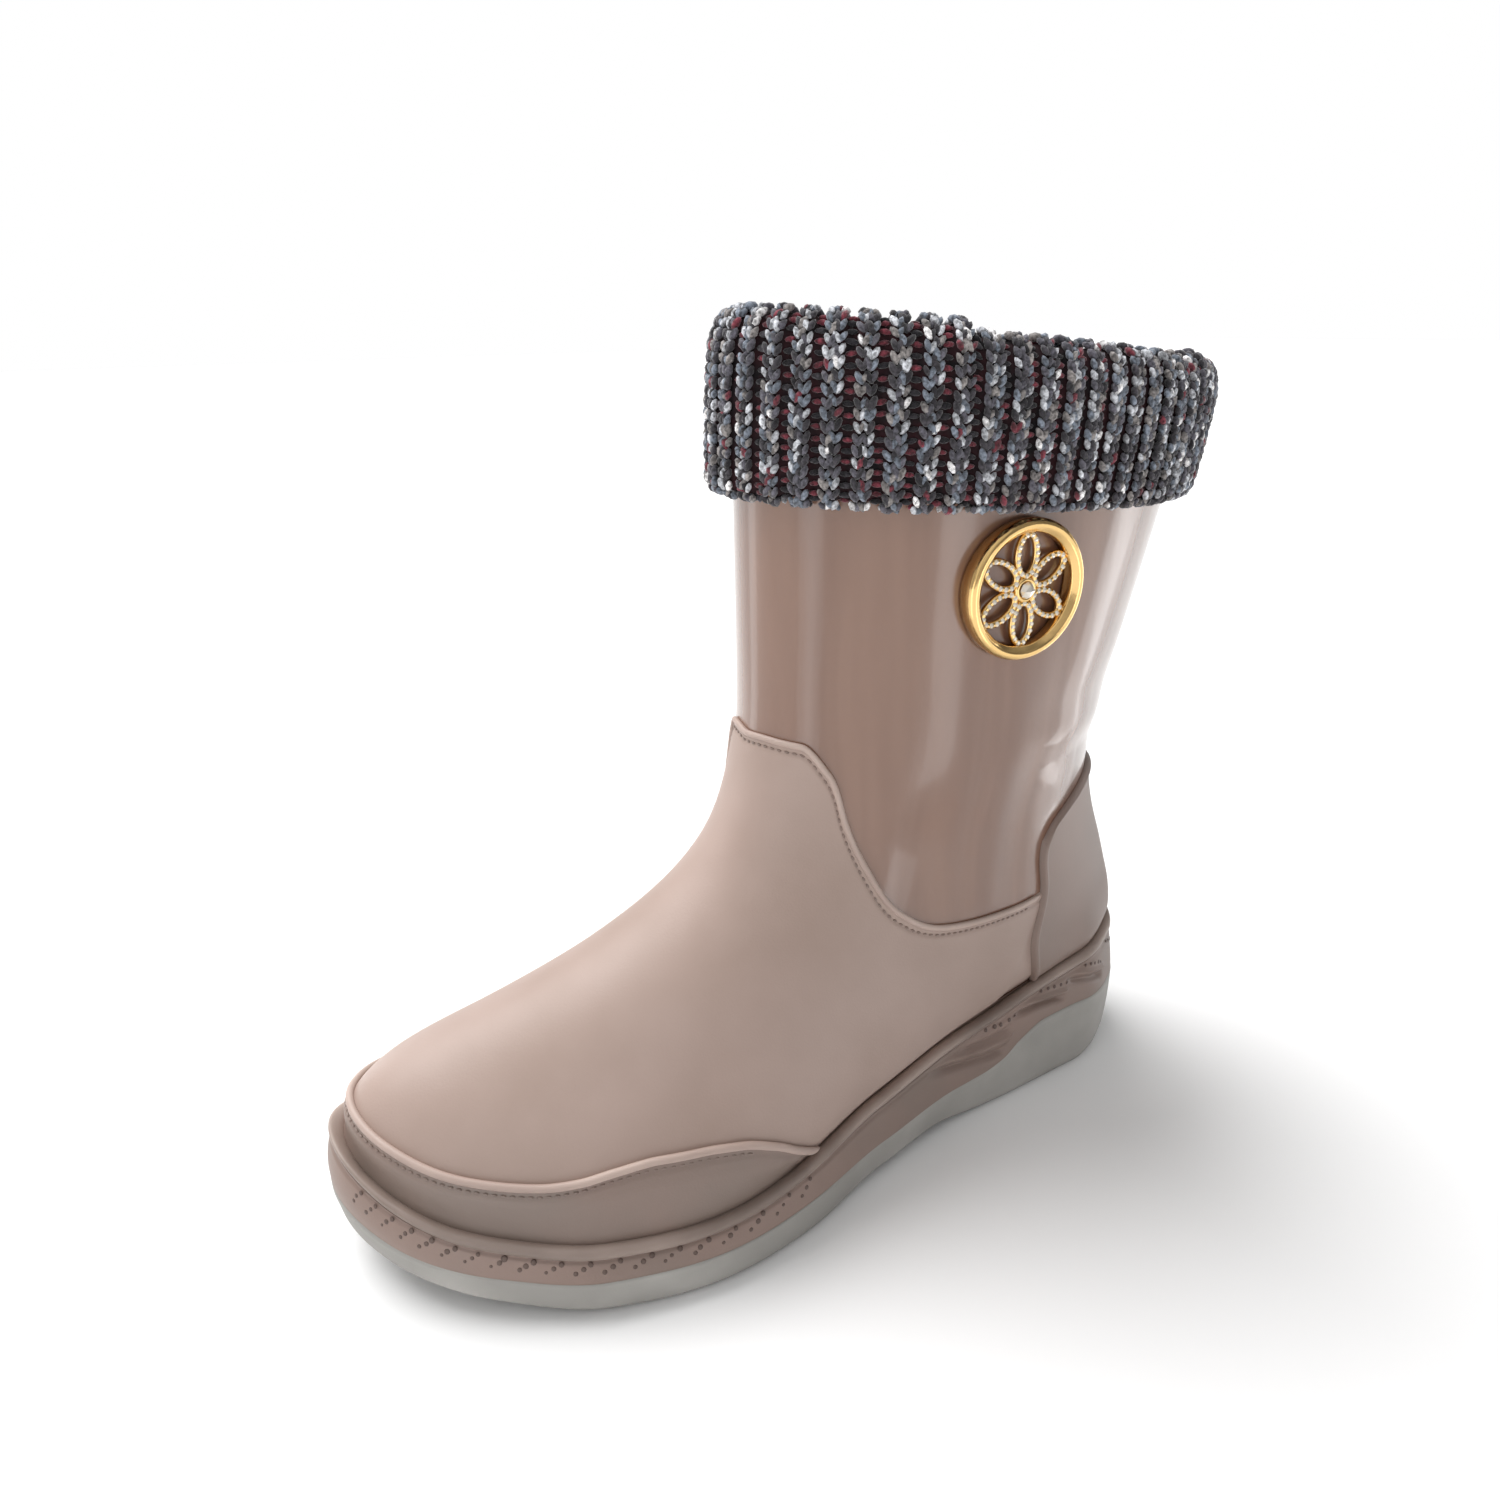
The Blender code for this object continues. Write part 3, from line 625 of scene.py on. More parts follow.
def finish_piece(obj, surface, slot, *nodes):
    """Gives a piece its material and body, and hides the CAD nodes that it stands for; the slot is not used."""
    obj.data.materials.append(surface)
    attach(obj, "root")
    if nodes:
        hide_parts(*nodes)
    return obj


def face(v, t, lift):
    """Point of the upper's face, raised along its normal."""
    return upper(v, t) + np.asarray(lift)[..., None] * upper_normal(v, t)


def settle(t, v):
    """Dents of the soft shaft, in millimetres: shallow folds over the ankle and a slack back."""
    folds = ((8.05, 0.30, 0.45, 0.20, -0.9), (8.75, 0.42, 0.40, 0.16, 0.5), (9.25, 0.27, 0.5, 0.14, -0.6),
             (9.6, 0.78, 0.7, 0.10, -0.5), (10.4, 0.70, 1.1, 0.07, 0.35), (8.6, 1.68, 0.5, 0.18, -0.8),
             (9.3, 1.55, 0.5, 0.2, 0.5))
    lift = 0 * t
    for v0, t0, high, wide, depth in folds:
        lift = lift + depth * bump((v - v0) / high) * bump((np.mod(t, 2.0) - t0) / wide)
    return lift


class BOOT_OT_shaft(bpy.types.Operator):
    """Glossy shaft and the lining inside it. The outer face is the upper's own function with a few shallow
    folds; it turns over at the collar and comes back a little inside itself."""

    bl_idname = "boot.shaft"
    bl_label = "Shaft and lining"

    def execute(self, context):
        t = np.arange(280) / 140
        v = np.concatenate([np.linspace(0, 8, 50), np.linspace(8, 12, 60)[1:]])[:, None]
        outer = face(v, t[None], settle(t[None] + 0 * v, v + 0 * t[None]))
        inner = face(v[::3], t[None], -1.2 + settle(t[None] + 0 * v[::3], v[::3] + 0 * t[None]))[::-1]
        shaft = ring_shell("shaft", list(outer) + list(inner))
        finish_piece(shaft, glossy_pvc(), "boot_rubber", "upper")
        v = np.linspace(0.02, 11.9, 64)[:, None]
        t = np.arange(128) / 64
        bend = settle(t[None] + 0 * v, v + 0 * t[None])
        lining = ring_shell("lining", list(face(v, t[None], -2.25 + bend)) + list(face(v[::4], t[None], -1.3 + bend[::4])[::-1]))
        finish_piece(lining, jersey_lining(), "insole_fabric")
        return {"FINISHED"}


def edge_profile(down, body):
    """Height of a panel against distance from its edge: a rolled edge, a shallow stitched channel, then the body."""
    return body * step((down + 0.3) / 1.2) - 0.4 * bump((down - 3.0) / 0.7)


class BOOT_OT_galosh(bpy.types.Operator):
    """Satin galosh: a skin over the upper's face from the rim up to a curved edge, which is rolled into a bead."""

    bl_idname = "boot.galosh"
    bl_label = "Galosh"

    def execute(self, context):
        t = np.arange(440) / 220
        top = on_line(BEAD_LINE, t)
        per_row = row_height(top, t)
        near = np.concatenate([np.linspace(0, 3, 15), np.linspace(3.4, 8, 10)])
        v_near = top - near[:, None] / per_row
        rest = np.linspace(0, 1, 46)[1:, None]
        v = np.concatenate([v_near, v_near[-1] + (0.86 - v_near[-1]) * rest])
        down = np.concatenate([near[:, None] + 0 * t, 8 + 60 * rest + 0 * t])
        tt = t[None] + 0 * v
        lift = edge_profile(down, 0.75)
        lift = lift * (1 - 0.9 * step((0.352 - mirrored(tt)) / 0.02))
        outer = face(v, tt, lift)
        inner = face(v[::6], tt[::6], -0.35 + 0 * v[::6])
        galosh = ring_shell("galosh", list(outer) + list(inner[::-1]))
        tone = context.scene.boot_colours
        finish_piece(galosh, satin_pvc("Satin moulded PVC", tone.galosh, tone.galosh_shade), "boot_rubber")
        bead = welt("galosh_bead", BEAD_LINE, 0.352, 1.648, 0.7, 0.55, sizes().bead)
        # The bead's lighter colour is partly a painted highlight, partly wear.
        finish_piece(bead, satin_pvc("Satin bead PVC with painted highlight", tone.bead, tone.galosh), "boot_rubber")
        return {"FINISHED"}


class BOOT_OT_toe_guard(bpy.types.Operator):
    """Toe guard: a thicker band from the rim up to a beaded edge, slightly hollow between the two."""

    bl_idname = "boot.toe_guard"
    bl_label = "Toe guard"

    def execute(self, context):
        t = 1 + 0.468 * np.sin(np.linspace(-pi / 2, pi / 2, 321))
        top = on_line(GUARD_LINE, t)
        per_row = row_height(top, t)
        reach = (top - 0.9) * per_row
        near = np.concatenate([np.linspace(0, 1, 14) ** 1.2 * 0.42, np.linspace(0.45, 1, 16)])
        down = near[:, None] * np.maximum(reach, 2.0)
        v = top - near[:, None] * (top - 0.9)
        ends = step((0.4675 - np.abs(t - 1)) / 0.03)
        hollow = -0.95 * np.sin(pi * np.clip((near[:, None] - 0.25) / 0.75, 0, 1))
        lift = (0.85 + edge_profile(down, 0.9) + hollow) * (0.25 + 0.75 * ends)
        tt = t[None] + 0 * v
        lift[:, [0, -1]] = 0.2
        guard = panel("toe_guard", face(v, tt, lift), face(v, tt, 0.2 + 0 * v))
        tone = context.scene.boot_colours
        # The guard's darker colour is in part painted shade of its hollow face.
        finish_piece(guard, satin_pvc("Satin guard PVC with painted shade", tone.guard, tone.sidewall, 0.48), "boot_rubber", "toe_guard")
        bead = welt("guard_bead", GUARD_LINE, 0.536, 1.464, 0.8, 1.5, 1.3 * sizes().bead)
        # The bead's lighter colour is partly a painted highlight, partly wear.
        finish_piece(bead, satin_pvc("Satin guard bead PVC with painted highlight", tone.bead, tone.galosh), "boot_rubber")
        return {"FINISHED"}


class BOOT_OT_heel_counter(bpy.types.Operator):
    """Heel counter: a thicker panel round the heel whose front and top edges end in a low lip."""

    bl_idname = "boot.heel_counter"
    bl_label = "Heel counter"

    def execute(self, context):
        side = np.sin(np.linspace(-pi / 2, pi / 2, 221))
        top = curve(column(COUNTER_TOP, 0), column(COUNTER_TOP, 1), np.abs(side))
        share = np.linspace(0, 1, 90)[:, None]
        v = 0.9 + (top - 0.9) * share
        front = curve(column(COUNTER_EDGE, 0), column(COUNTER_EDGE, 1), v)
        t = side * front
        from_top = (top - v) * row_height(v, t % 2)
        from_side = (1 - np.abs(side)) * front * column_width(v, t % 2)
        down = -1.2 * np.log(np.exp(-from_top / 1.2) + np.exp(-from_side / 1.2)) + 0.3
        lift = 0.15 + 1.45 * step(down / 0.9) + 0.55 * bump((down - 1.5) / 0.9)
        lift[-1] = lift[:, 0] = lift[:, -1] = 0.1
        counter = panel("heel_counter", face(v, t % 2, lift), face(v, t % 2, 0.05 + 0 * v))
        tone = context.scene.boot_colours
        finish_piece(counter, satin_pvc("Satin counter PVC", tone.counter, tone.guard, 0.5), "boot_rubber", "heel_counter")
        return {"FINISHED"}


def seam(line, start, end, below, lift, pitch):
    """Stitches along a line: centres a fixed pitch apart by the path's length, each a low ball drawn out along it."""
    t = np.linspace(start, end, 1500)
    v = on_line(line, t)
    v = v - below / row_height(v, t)
    path = face(v, t, lift + 0 * t)
    run = np.concatenate([[0], np.cumsum(np.linalg.norm(np.diff(path, axis=0), axis=1))])
    at = np.interp(np.arange(pitch, run[-1], pitch), run, t)
    v = np.interp(at, t, v)
    ahead = np.stack([np.interp(at, t, g) for g in np.gradient(path, t, axis=0).T], 1)
    ahead /= np.linalg.norm(ahead, axis=1)[:, None]
    out = upper_normal(v, at)
    across = np.cross(out, ahead)
    return face(v, at, lift + 0 * at), np.stack([ahead * 0.34 * pitch, across * 0.38, out * 0.34], 1)


class BOOT_OT_seams(bpy.types.Operator):
    """Moulded stitches under the bead of the galosh and of the toe guard."""

    bl_idname = "boot.seams"
    bl_label = "Moulded stitches"

    def execute(self, context):
        pitch = sizes().seam_pitch
        tone = context.scene.boot_colours
        rows = [seam(BEAD_LINE, 0.365, 1.635, 3.0, 0.45, pitch), seam(GUARD_LINE, 0.60, 1.40, 3.2, 1.46, pitch)]
        stitches = scatter("moulded_stitches", *(np.concatenate(q) for q in zip(*rows)))
        # Painted shade: the stitches take the toe guard's darker colour, so on the galosh they read as dark dashes in
        # place of the shadow round each stitch.
        finish_piece(stitches, satin_pvc("Satin stitch PVC painted shade", tone.guard, tone.sidewall, 0.5), "boot_rubber")
        return {"FINISHED"}


def side_height(part):
    """Height on the sidewall: 0 at the outsole's edge, 1 at the rim, -1 at the ground."""
    if part >= 0:
        return lambda k: sole(2, k) + (sole(4, k) - sole(2, k)) * part
    return lambda k: sole(2, k) + (sole(2, k) - sole(1, k)) * part


def sidewall(part, t, out=0.0):
    """Ring of the sole's side, moved outwards."""
    base = side_inset(part)
    return loop(lambda k: np.clip(base(k) - out, 0, 12), side_height(part), t)


def waves(part, t):
    """Sweeping grooves and ridges near the heel: bells round short slanted lines, fading at both ends."""
    u, total = mirrored(t), 0 * t
    for t0, q0, t1, q1, depth, wide in WAVES:
        along = np.clip((u - t0) / (t1 - t0), -0.2, 1.2)
        line = q0 + (q1 - q0) * np.clip(along, 0, 1) ** 0.7
        total = total + depth * bump((part - line) / wide) * step(along / 0.3) * step((1.08 - along) / 0.12)
    return total


class BOOT_OT_sole(bpy.types.Operator):
    """Taupe sidewall with its rounded rim, sweeping waves and dots, and the grey running sole with chevron lugs."""

    bl_idname = "boot.sole"
    bl_label = "Sole"

    def execute(self, context):
        tone = context.scene.boot_colours
        t = np.arange(640) / 320
        rings = []
        for q in np.linspace(0.0, 0.86, 44):
            lip = -0.3 * bump((q - 0.81) / 0.05)
            rings.append(sidewall(q, t, waves(q, t) + lip - 0.35 * (q < 0.01)))
        for a in np.linspace(-0.35, 1.0, 15) * pi:
            centre = lambda k: side_inset(0.93)(k) + 1.0
            ring = loop(lambda k: centre(k) - RIM_BEAD * cos(a), lambda k: side_height(0.93)(k) + 0.75 + RIM_BEAD * sin(a) * (0.8 if sin(a) > 0 else 1.0), t)
            rings.append(ring)
        rings.append(loop(FEATHER - 0.35, lambda k: sole(4, k) - 2.5, t))
        rings.append(loop(FEATHER - 0.35, lambda k: sole(3, k) - 0.3, t))
        rings.append(loop(11.0, lambda k: sole(3, k) - 0.3, t))
        rings.append(loop(11.0, lambda k: sole(2, k) + 0.3, t))
        wall = ring_shell("sidewall", rings)
        finish_piece(wall, satin_pvc("Satin sidewall PVC", tone.sidewall, tone.guard, 0.48), "boot_rubber", "midsole")
        a = (np.arange(18) + 0.5) * 2 * pi / 18
        roll = [loop(lambda k: side_inset(0.93)(k) + 1.0 - (RIM_BEAD + 0.15) * cos(q),
                     lambda k: side_height(0.93)(k) + 0.75 + (RIM_BEAD + 0.15) * sin(q) * (0.8 if sin(q) > 0 else 1.0), t) for q in a]
        rim = ring_shell("sole_rim", roll)
        # The rim's lighter colour is a painted highlight on its rounded top.
        finish_piece(rim, satin_pvc("Satin rim PVC with painted highlight", tone.rim, tone.sidewall, 0.45), "boot_rubber")
        self.footbed()
        self.running_sole(t)
        self.dots()
        return {"FINISHED"}

    def footbed(self):
        """Plate under the insole."""
        tone = bpy.context.scene.boot_colours
        k = (1 - np.cos(np.linspace(0.02, 0.98, 60) * pi)) / 2
        edge = [edge_x(side, k, 8.0) for side in (1, -1)]
        across = np.linspace(0, 1, 9)
        x = edge[0][:, None] * (1 - across) + edge[1][:, None] * across
        s = (8 + (LENGTH - 16) * k)[:, None] + 0 * x
        top = np.stack([x, LENGTH / 2 - s, sole(3, s / LENGTH) - 0.35], -1)
        low = top - [0, 0, 1.5]
        plate = panel("footbed", top, low)
        finish_piece(plate, satin_pvc("Satin footbed PVC", tone.sidewall, tone.guard), "boot_rubber")

    def running_sole(self, t):
        """Side band up to the sidewall, and a bottom whose height is raised between the chevrons."""
        tone = bpy.context.scene.boot_colours
        grey = satin_pvc("Satin outsole rubber", tone.outsole, "9C9994", 0.6, 0.22)
        rings = [loop(12.0, lambda k: sole(1, k) + 3.4, t), loop(12.0, lambda k: sole(1, k) + 2.9, t)]
        rings += [loop(LUG_EDGE - 0.4, lambda k: sole(1, k) + 2.6, t), loop(LUG_EDGE - 0.4, lambda k: sole(1, k) + 0.15, t)]
        rings += [loop(3.6, lambda k: sole(1, k), t)]
        rings += [sidewall(q, t) for q in -1 + np.array([0.0, 0.06, 0.14, 0.24, 0.36, 0.5, 0.64, 0.78, 0.9, 0.97])]
        rings += [sidewall(q, t, 0.35) for q in (0.0, 0.03, GREY_RISE)] + [sidewall(GREY_RISE + 0.01, t, -0.4), loop(12.0, lambda k: sole(2, k), t)]
        band = ring_shell("outsole_band", rings)
        finish_piece(band, grey, "outsole_rubber", "outsole")
        k = (1 - np.cos(np.linspace(0.03, 0.97, 420) * pi)) / 2
        edge = [edge_x(side, k, LUG_EDGE - 0.6) for side in (1, -1)]
        across = np.linspace(-1, 1, 43)
        x = (edge[0] + edge[1])[:, None] / 2 + (edge[0] - edge[1])[:, None] / 2 * across
        s = (LUG_EDGE + (LENGTH - 2 * LUG_EDGE) * k)[:, None] + 0 * x
        ground = sole(1, s / LENGTH)
        cut = 0 * s
        for start, end, pitch in TREAD:
            for station in np.arange(start, end, pitch):
                middle = station + 3 - 6 * np.abs(across)[None]
                cut = np.maximum(cut, step((LUG_GAP / 2 + 0.45 - np.abs(s - middle)) / 0.9) * step((0.97 - np.abs(across)[None]) / 0.04))
        low = np.stack([x, LENGTH / 2 - s, ground + 0.1 + (LUG_DEEP - 0.1) * cut], -1)
        high = np.stack([x, LENGTH / 2 - s, ground + 3.6], -1)
        tread = panel("tread", high[:, ::1], low)
        finish_piece(tread, grey, "outsole_rubber")

    def dots(self):
        """Short slanted rows of pin-head dots along the sidewall, and rows of three between the heel's waves; each dot
        is a dark, nearly flat disc, painted shade in place of a small dimple.
        """
        tone = bpy.context.scene.boot_colours
        spots, rng = [], np.random.default_rng(3)
        for sign in (1, -1):
            for t0 in np.arange(0.545, 0.93, 0.021):
                spots += [(sign * (t0 + 0.005 * i), 0.76 - 0.13 * i, 0.74 - 0.08 * i) for i in range(3)]
            for t0, q0, q1 in DOT_ROWS:
                spots += [(sign * (t0 - 0.0085 * i), q0 + (q1 - q0) * i / 4, 0.66) for i in range(5)]
        centres, axes = [], []
        for t0, q, size in spots:
            t = np.array([t0 - 0.002, t0, t0 + 0.002]) % 2 + rng.normal(0, 0.0006)
            size *= rng.uniform(0.75, 1.2)
            here, above = sidewall(q, t, waves(q, t)), sidewall(q + 0.02, t)
            along = here[2] - here[0]
            along /= np.linalg.norm(along)
            up = above[1] - here[1]
            out = np.cross(along, up / np.linalg.norm(up))
            out *= np.sign(out[0] * np.sign(here[1][0]) + 1e-9)
            centres.append(here[1])
            axes.append([along * size, np.cross(out, along) * size, out * 0.14])
        pins = scatter("sidewall_dots", np.array(centres), np.array(axes))
        # Painted shade: the dark colour stands in for the shade inside small dimples.
        finish_piece(pins, satin_pvc("Dark dot PVC painted dimple shade", "5A4841", "64524A", 0.6), "boot_rubber")


class BOOT_OT_insole(bpy.types.Operator):
    """Thin footbed of felt: a domed slab inside the upper's lower edge, raised along its rim."""

    bl_idname = "boot.insole"
    bl_label = "Insole"

    def execute(self, context):
        k = (1 - np.cos(np.linspace(0.004, 0.996, 100) * pi)) / 2
        inset = FEATHER + WALL + 0.7
        edge = [edge_x(side, k, inset) for side in (1, -1)]
        across = np.sin(np.linspace(-pi / 2, pi / 2, 31))
        x = (edge[0] + edge[1])[:, None] / 2 + (edge[0] - edge[1])[:, None] / 2 * across
        s = (inset + (LENGTH - 2 * inset) * k)[:, None] + 0 * x
        rim = np.abs(across)[None] ** 6
        bed = sole(3, s / LENGTH)
        top = np.stack([x, LENGTH / 2 - s, bed + INSOLE - 0.5 + 0.5 * rim], -1)
        low = np.stack([x, LENGTH / 2 - s, bed + 0.1], -1)
        top[:, [0, -1], 2] -= 1.0
        insole = panel("insole", top, low)
        finish_piece(insole, jersey_lining(), "insole_fabric", "insole")
        return {"FINISHED"}


def knit_point(t, w, lift):
    """Point of the cuff: round the shaft by t, along the folded section by w, raised along the section's normal."""
    path = np.array(KNIT_PATH)
    run = np.concatenate([[0], np.cumsum(np.hypot(*np.diff(path, axis=0).T))])
    at = w * run[-1]
    d, z = curve(run, path[:, 0], at), curve(run, path[:, 1], at)
    ahead = np.stack([curve(run, path[:, i], at + 0.3) - curve(run, path[:, i], at - 0.3) for i in (0, 1)])
    ahead = ahead / np.maximum(np.hypot(*ahead), 1e-6)
    rows = np.arange(9, len(UPPER), dtype=float)
    means = [(UPPER[int(i)][1] + UPPER[int(i)][3]) / 2 for i in rows]
    v = np.interp(z, means, rows)
    flat = upper_normal(v, t)
    flat[..., 2] = 0
    flat /= np.linalg.norm(flat, axis=-1)[..., None]
    point = upper(v, t) + (d + lift * ahead[1])[..., None] * flat
    u = np.mod(t, 2.0)
    fold = 2.3 * step((u - 0.645) / 0.03) * step((1.55 - u) / 0.2) - 1.6 + 1.2 * bump((u - 0.30) / 0.03)
    point[..., 2] += -lift * ahead[0] + fold * step((z - 204) / 26)
    return point


class BOOT_OT_knit_cuff(bpy.types.Operator):
    """Rib knit cuff: every stitch is a pair of slanted, overlapping balls of yarn in a V, two columns to a rib,
    with a sunken column of cross-wise stitches between ribs, over a dark ground. The band turns down outside
    the collar and runs a little way down inside."""

    bl_idname = "boot.knit_cuff"
    bl_label = "Knit cuff"

    def execute(self, context):
        ribs, rise, depth = sizes().ribs, sizes().stitch_rise, sizes().rib_depth
        path = np.array(KNIT_PATH)
        long = np.hypot(*np.diff(path, axis=0).T).sum()
        rows = int(round(long / rise))
        fine = np.linspace(0, 2, 2001)
        ring = knit_point(fine, 0.12 + 0 * fine, 0 * fine)
        run = np.concatenate([[0], np.cumsum(np.linalg.norm(np.diff(ring, axis=0), axis=1))])
        round_at = lambda share: np.interp(np.mod(share, 1.0) * run[-1], run, fine)
        pitch = run[-1] / ribs
        wide = pitch / 3.0
        rng = np.random.default_rng(7)
        made, yarn = [], knit_yarn()
        column_no, row_no, leaf = np.meshgrid(np.arange(ribs * 3), np.arange(rows), (-1, 1), indexing="ij")
        kind = column_no % 3
        sunk = kind == 2
        keep = ~(sunk & (leaf > 0))
        column_no, row_no, leaf, kind, sunk = (q[keep] for q in (column_no, row_no, leaf, kind, sunk))
        jitter = lambda size: rng.normal(0, size, len(kind))
        lean = np.array([0.25, -0.25, 0.0])[kind]
        share = (column_no + 0.5 + lean * 0.4 + np.where(sunk, 0, 0.235 * leaf) + jitter(0.035)) / (ribs * 3)
        phase = rng.uniform(-0.25, 0.25, ribs * 3)[column_no]
        w = np.clip((row_no + 0.5 + phase + jitter(0.05)) / rows, 0.004, 0.996)
        lift = depth * (np.array([0.42, 0.42, -0.55])[kind] + jitter(0.05))
        t = round_at(share)
        here = knit_point(t, w, lift)
        around = knit_point(round_at(share + 0.0006), w, lift) - knit_point(round_at(share - 0.0006), w, lift)
        along = knit_point(t, np.minimum(w + 0.003, 1), lift) - knit_point(t, np.maximum(w - 0.003, 0), lift)
        around /= np.linalg.norm(around, axis=1)[:, None]
        along /= np.linalg.norm(along, axis=1)[:, None]
        out = np.cross(around, along)
        size = 1 + jitter(0.08)
        turn = np.where(sunk, pi / 2, radians(30) * leaf) + jitter(0.1)
        lengthwise = np.cos(turn)[:, None] * along + np.sin(turn)[:, None] * around
        crosswise = np.cross(out, lengthwise)
        half = np.stack([np.where(sunk, 0.62 * wide, 0.70 * rise), np.where(sunk, 0.30 * rise, 0.33 * wide), np.where(sunk, 0.30 * rise, 0.40 * wide)], 1) * size[:, None]
        axes = np.stack([lengthwise * half[:, :1], crosswise * half[:, 1:2], out * half[:, 2:]], 1)
        tones = np.array([linear(c) for c in ("353237", "504E56", "69707B", "7D7876", "B3B5BA", "DCDADA", "6A2A35", "1B181D")])
        pick = rng.choice(len(tones), len(kind), p=[0.21, 0.23, 0.18, 0.13, 0.13, 0.035, 0.035, 0.05])
        # Stitches of the sunk column take mostly the darkest tones: partly the yarn's own dark strands, partly painted
        # shade between the ribs.
        deep = rng.choice([0, 6, 7], len(kind), p=[0.15, 0.50, 0.35])
        colours = tones[np.where(sunk, deep, pick)]
        colours[:, :3] *= rng.uniform(0.75, 1.25, (len(kind), 1))
        outside, seen = w < 0.5, w < 0.74
        even = column_no % 2 == 0
        parts = {"knit_outside_a": (outside & even, 1), "knit_outside_b": (outside & ~even, 1),
                 "knit_inside": (~outside & seen, 1), "knit_inside_deep": (~seen, 0)}
        for name, (part, levels) in parts.items():
            made.append(scatter(name, here[part], axes[part], levels, colours[part]))
        finish_piece(made[0], yarn, "knit", "knit_cuff")
        for piece in made[1:]:
            finish_piece(piece, yarn, "knit")
        t = np.arange(240) / 120
        w = np.linspace(0.01, 0.99, 50)[:, None]
        rib = 0.35 * depth * np.cos(2 * pi * (np.interp(t, fine, run) / run[-1]) * ribs - 2 * pi / 3)[None]
        ground = [knit_point(t + 0 * w, w + 0 * t, q + 0 * w) for q in (-0.9 + rib, -1.9 + 0 * rib)]
        core = ring_shell("knit_ground", list(ground[0]) + list(ground[1][::-1]))
        finish_piece(core, knit_ground(), "knit")
        return {"FINISHED"}


class BOOT_OT_badge(bpy.types.Operator):
    """Gold badge: a deep ring whose back follows the shaft, and an open flower of six wire petals set with
    small stones."""

    bl_idname = "boot.badge"
    bl_label = "Badge"

    def execute(self, context):
        r, deep = BADGE / 2, BADGE_DEEP
        section = [(r - 0.3, 0.35, 1), (r, 0.7, 1), (r, deep - 1.6, 0), (r - 0.3, deep - 0.7, 0), (r - 0.9, deep - 0.15, 0),
                   (r - 1.7, deep, 0), (r - 2.4, deep - 0.25, 0), (r - 2.9, deep - 0.9, 0), (r - 3.3, deep - 1.1, 0),
                   (r - 3.6, deep - 1.5, 0), (r - 3.6, 0.6, 1), (r - 3.3, 0.35, 1)]
        a = np.arange(128) * 2 * pi / 128
        gold = gold_plate()
        ring = ring_shell("badge_ring", [on_badge(q * np.cos(a), q * np.sin(a), h + 0 * a, lie) for q, h, lie in section])
        finish_piece(ring, gold, "gold", "badge")
        far = r - BADGE_RIM + 0.35
        long, wide = (far - 2.6) / 2, 3.9
        centres, axes = [], []
        _, right, up, out, _ = badge_frame()
        size = sizes().stone / 2
        wires = []
        for k in range(6):
            turn = k * pi / 3 + pi / 2
            a = np.arange(72) * 2 * pi / 72
            p, q = (far + 2.6) / 2 + (long - 0.9) * np.cos(a), (wide - 0.9) * np.sin(a)
            x, y = p * cos(turn) - q * sin(turn), p * sin(turn) + q * cos(turn)
            path = on_badge(x, y, 1.7 + 0 * a, 0.6)
            wires.append(tube(path, 0.95, 12))
            run = np.concatenate([[0], np.cumsum(np.linalg.norm(np.diff(np.vstack([path, path[:1]]), axis=0), axis=1))])
            count = int(run[-1] / (2.25 * size))
            at = np.interp((np.arange(count) + 0.5) / count * run[-1], run, np.arange(73)) / 72 * 2 * pi
            p, q = (far + 2.6) / 2 + (long - 0.9) * np.cos(at), (wide - 0.9) * np.sin(at)
            centres.append(on_badge(p * cos(turn) - q * sin(turn), p * sin(turn) + q * cos(turn), 2.45 + 0 * at, 0.6))
        for k, wire in enumerate(wires):
            finish_piece(ring_shell(f"badge_petal_{k + 1}", wire), gold, "gold")
        centres = np.concatenate(centres + [on_badge(np.zeros(1), np.zeros(1), np.array([3.1]))])
        scale = np.full(len(centres), size)
        scale[-1] = 2.2
        axes = scale[:, None, None] * np.array([right, up, out])[None] * np.array([1, 1, 0.75])[None, :, None]
        stones = scatter("badge_stones", centres, axes, 1)
        stones.data.polygons.foreach_set("use_smooth", np.zeros(len(stones.data.polygons), bool))
        finish_piece(stones, cut_stone(), "gold")
        a = np.arange(48) * 2 * pi / 48
        cup = [on_badge(q * np.cos(a), q * np.sin(a), h + 0 * a) for q, h in ((0.05, 0.8), (3.3, 0.8), (3.5, 1.6), (3.1, 2.7), (2.6, 3.0), (2.2, 2.6), (0.05, 2.4))]
        finish_piece(ring_shell("badge_heart", cup), gold, "gold")
        return {"FINISHED"}


def turned(place, aim):
    """Matrix at a place whose -Z looks at the aim."""
    back = np.array(place, float) - aim
    back /= np.linalg.norm(back)
    side = np.cross([0, 0, 1], back)
    side /= np.linalg.norm(side)
    turn = Matrix(np.column_stack([side, np.cross(back, side), back]).tolist()).to_4x4()
    return Matrix.Translation(place) @ turn


def strip(name, place, aim, size, bright):
    """Upright lamp of a given radiance, seen only as a reflection."""
    light = bpy.data.lights.new(name, "AREA")
    light.shape = "RECTANGLE"
    light.size, light.size_y = size
    light.energy = bright * pi * size[0] * size[1]
    lamp = bpy.data.objects.new(name, light)
    bpy.context.scene.collection.objects.link(lamp)
    lamp.matrix_world = turned(place, aim)
    lamp.visible_camera = lamp.visible_diffuse = False


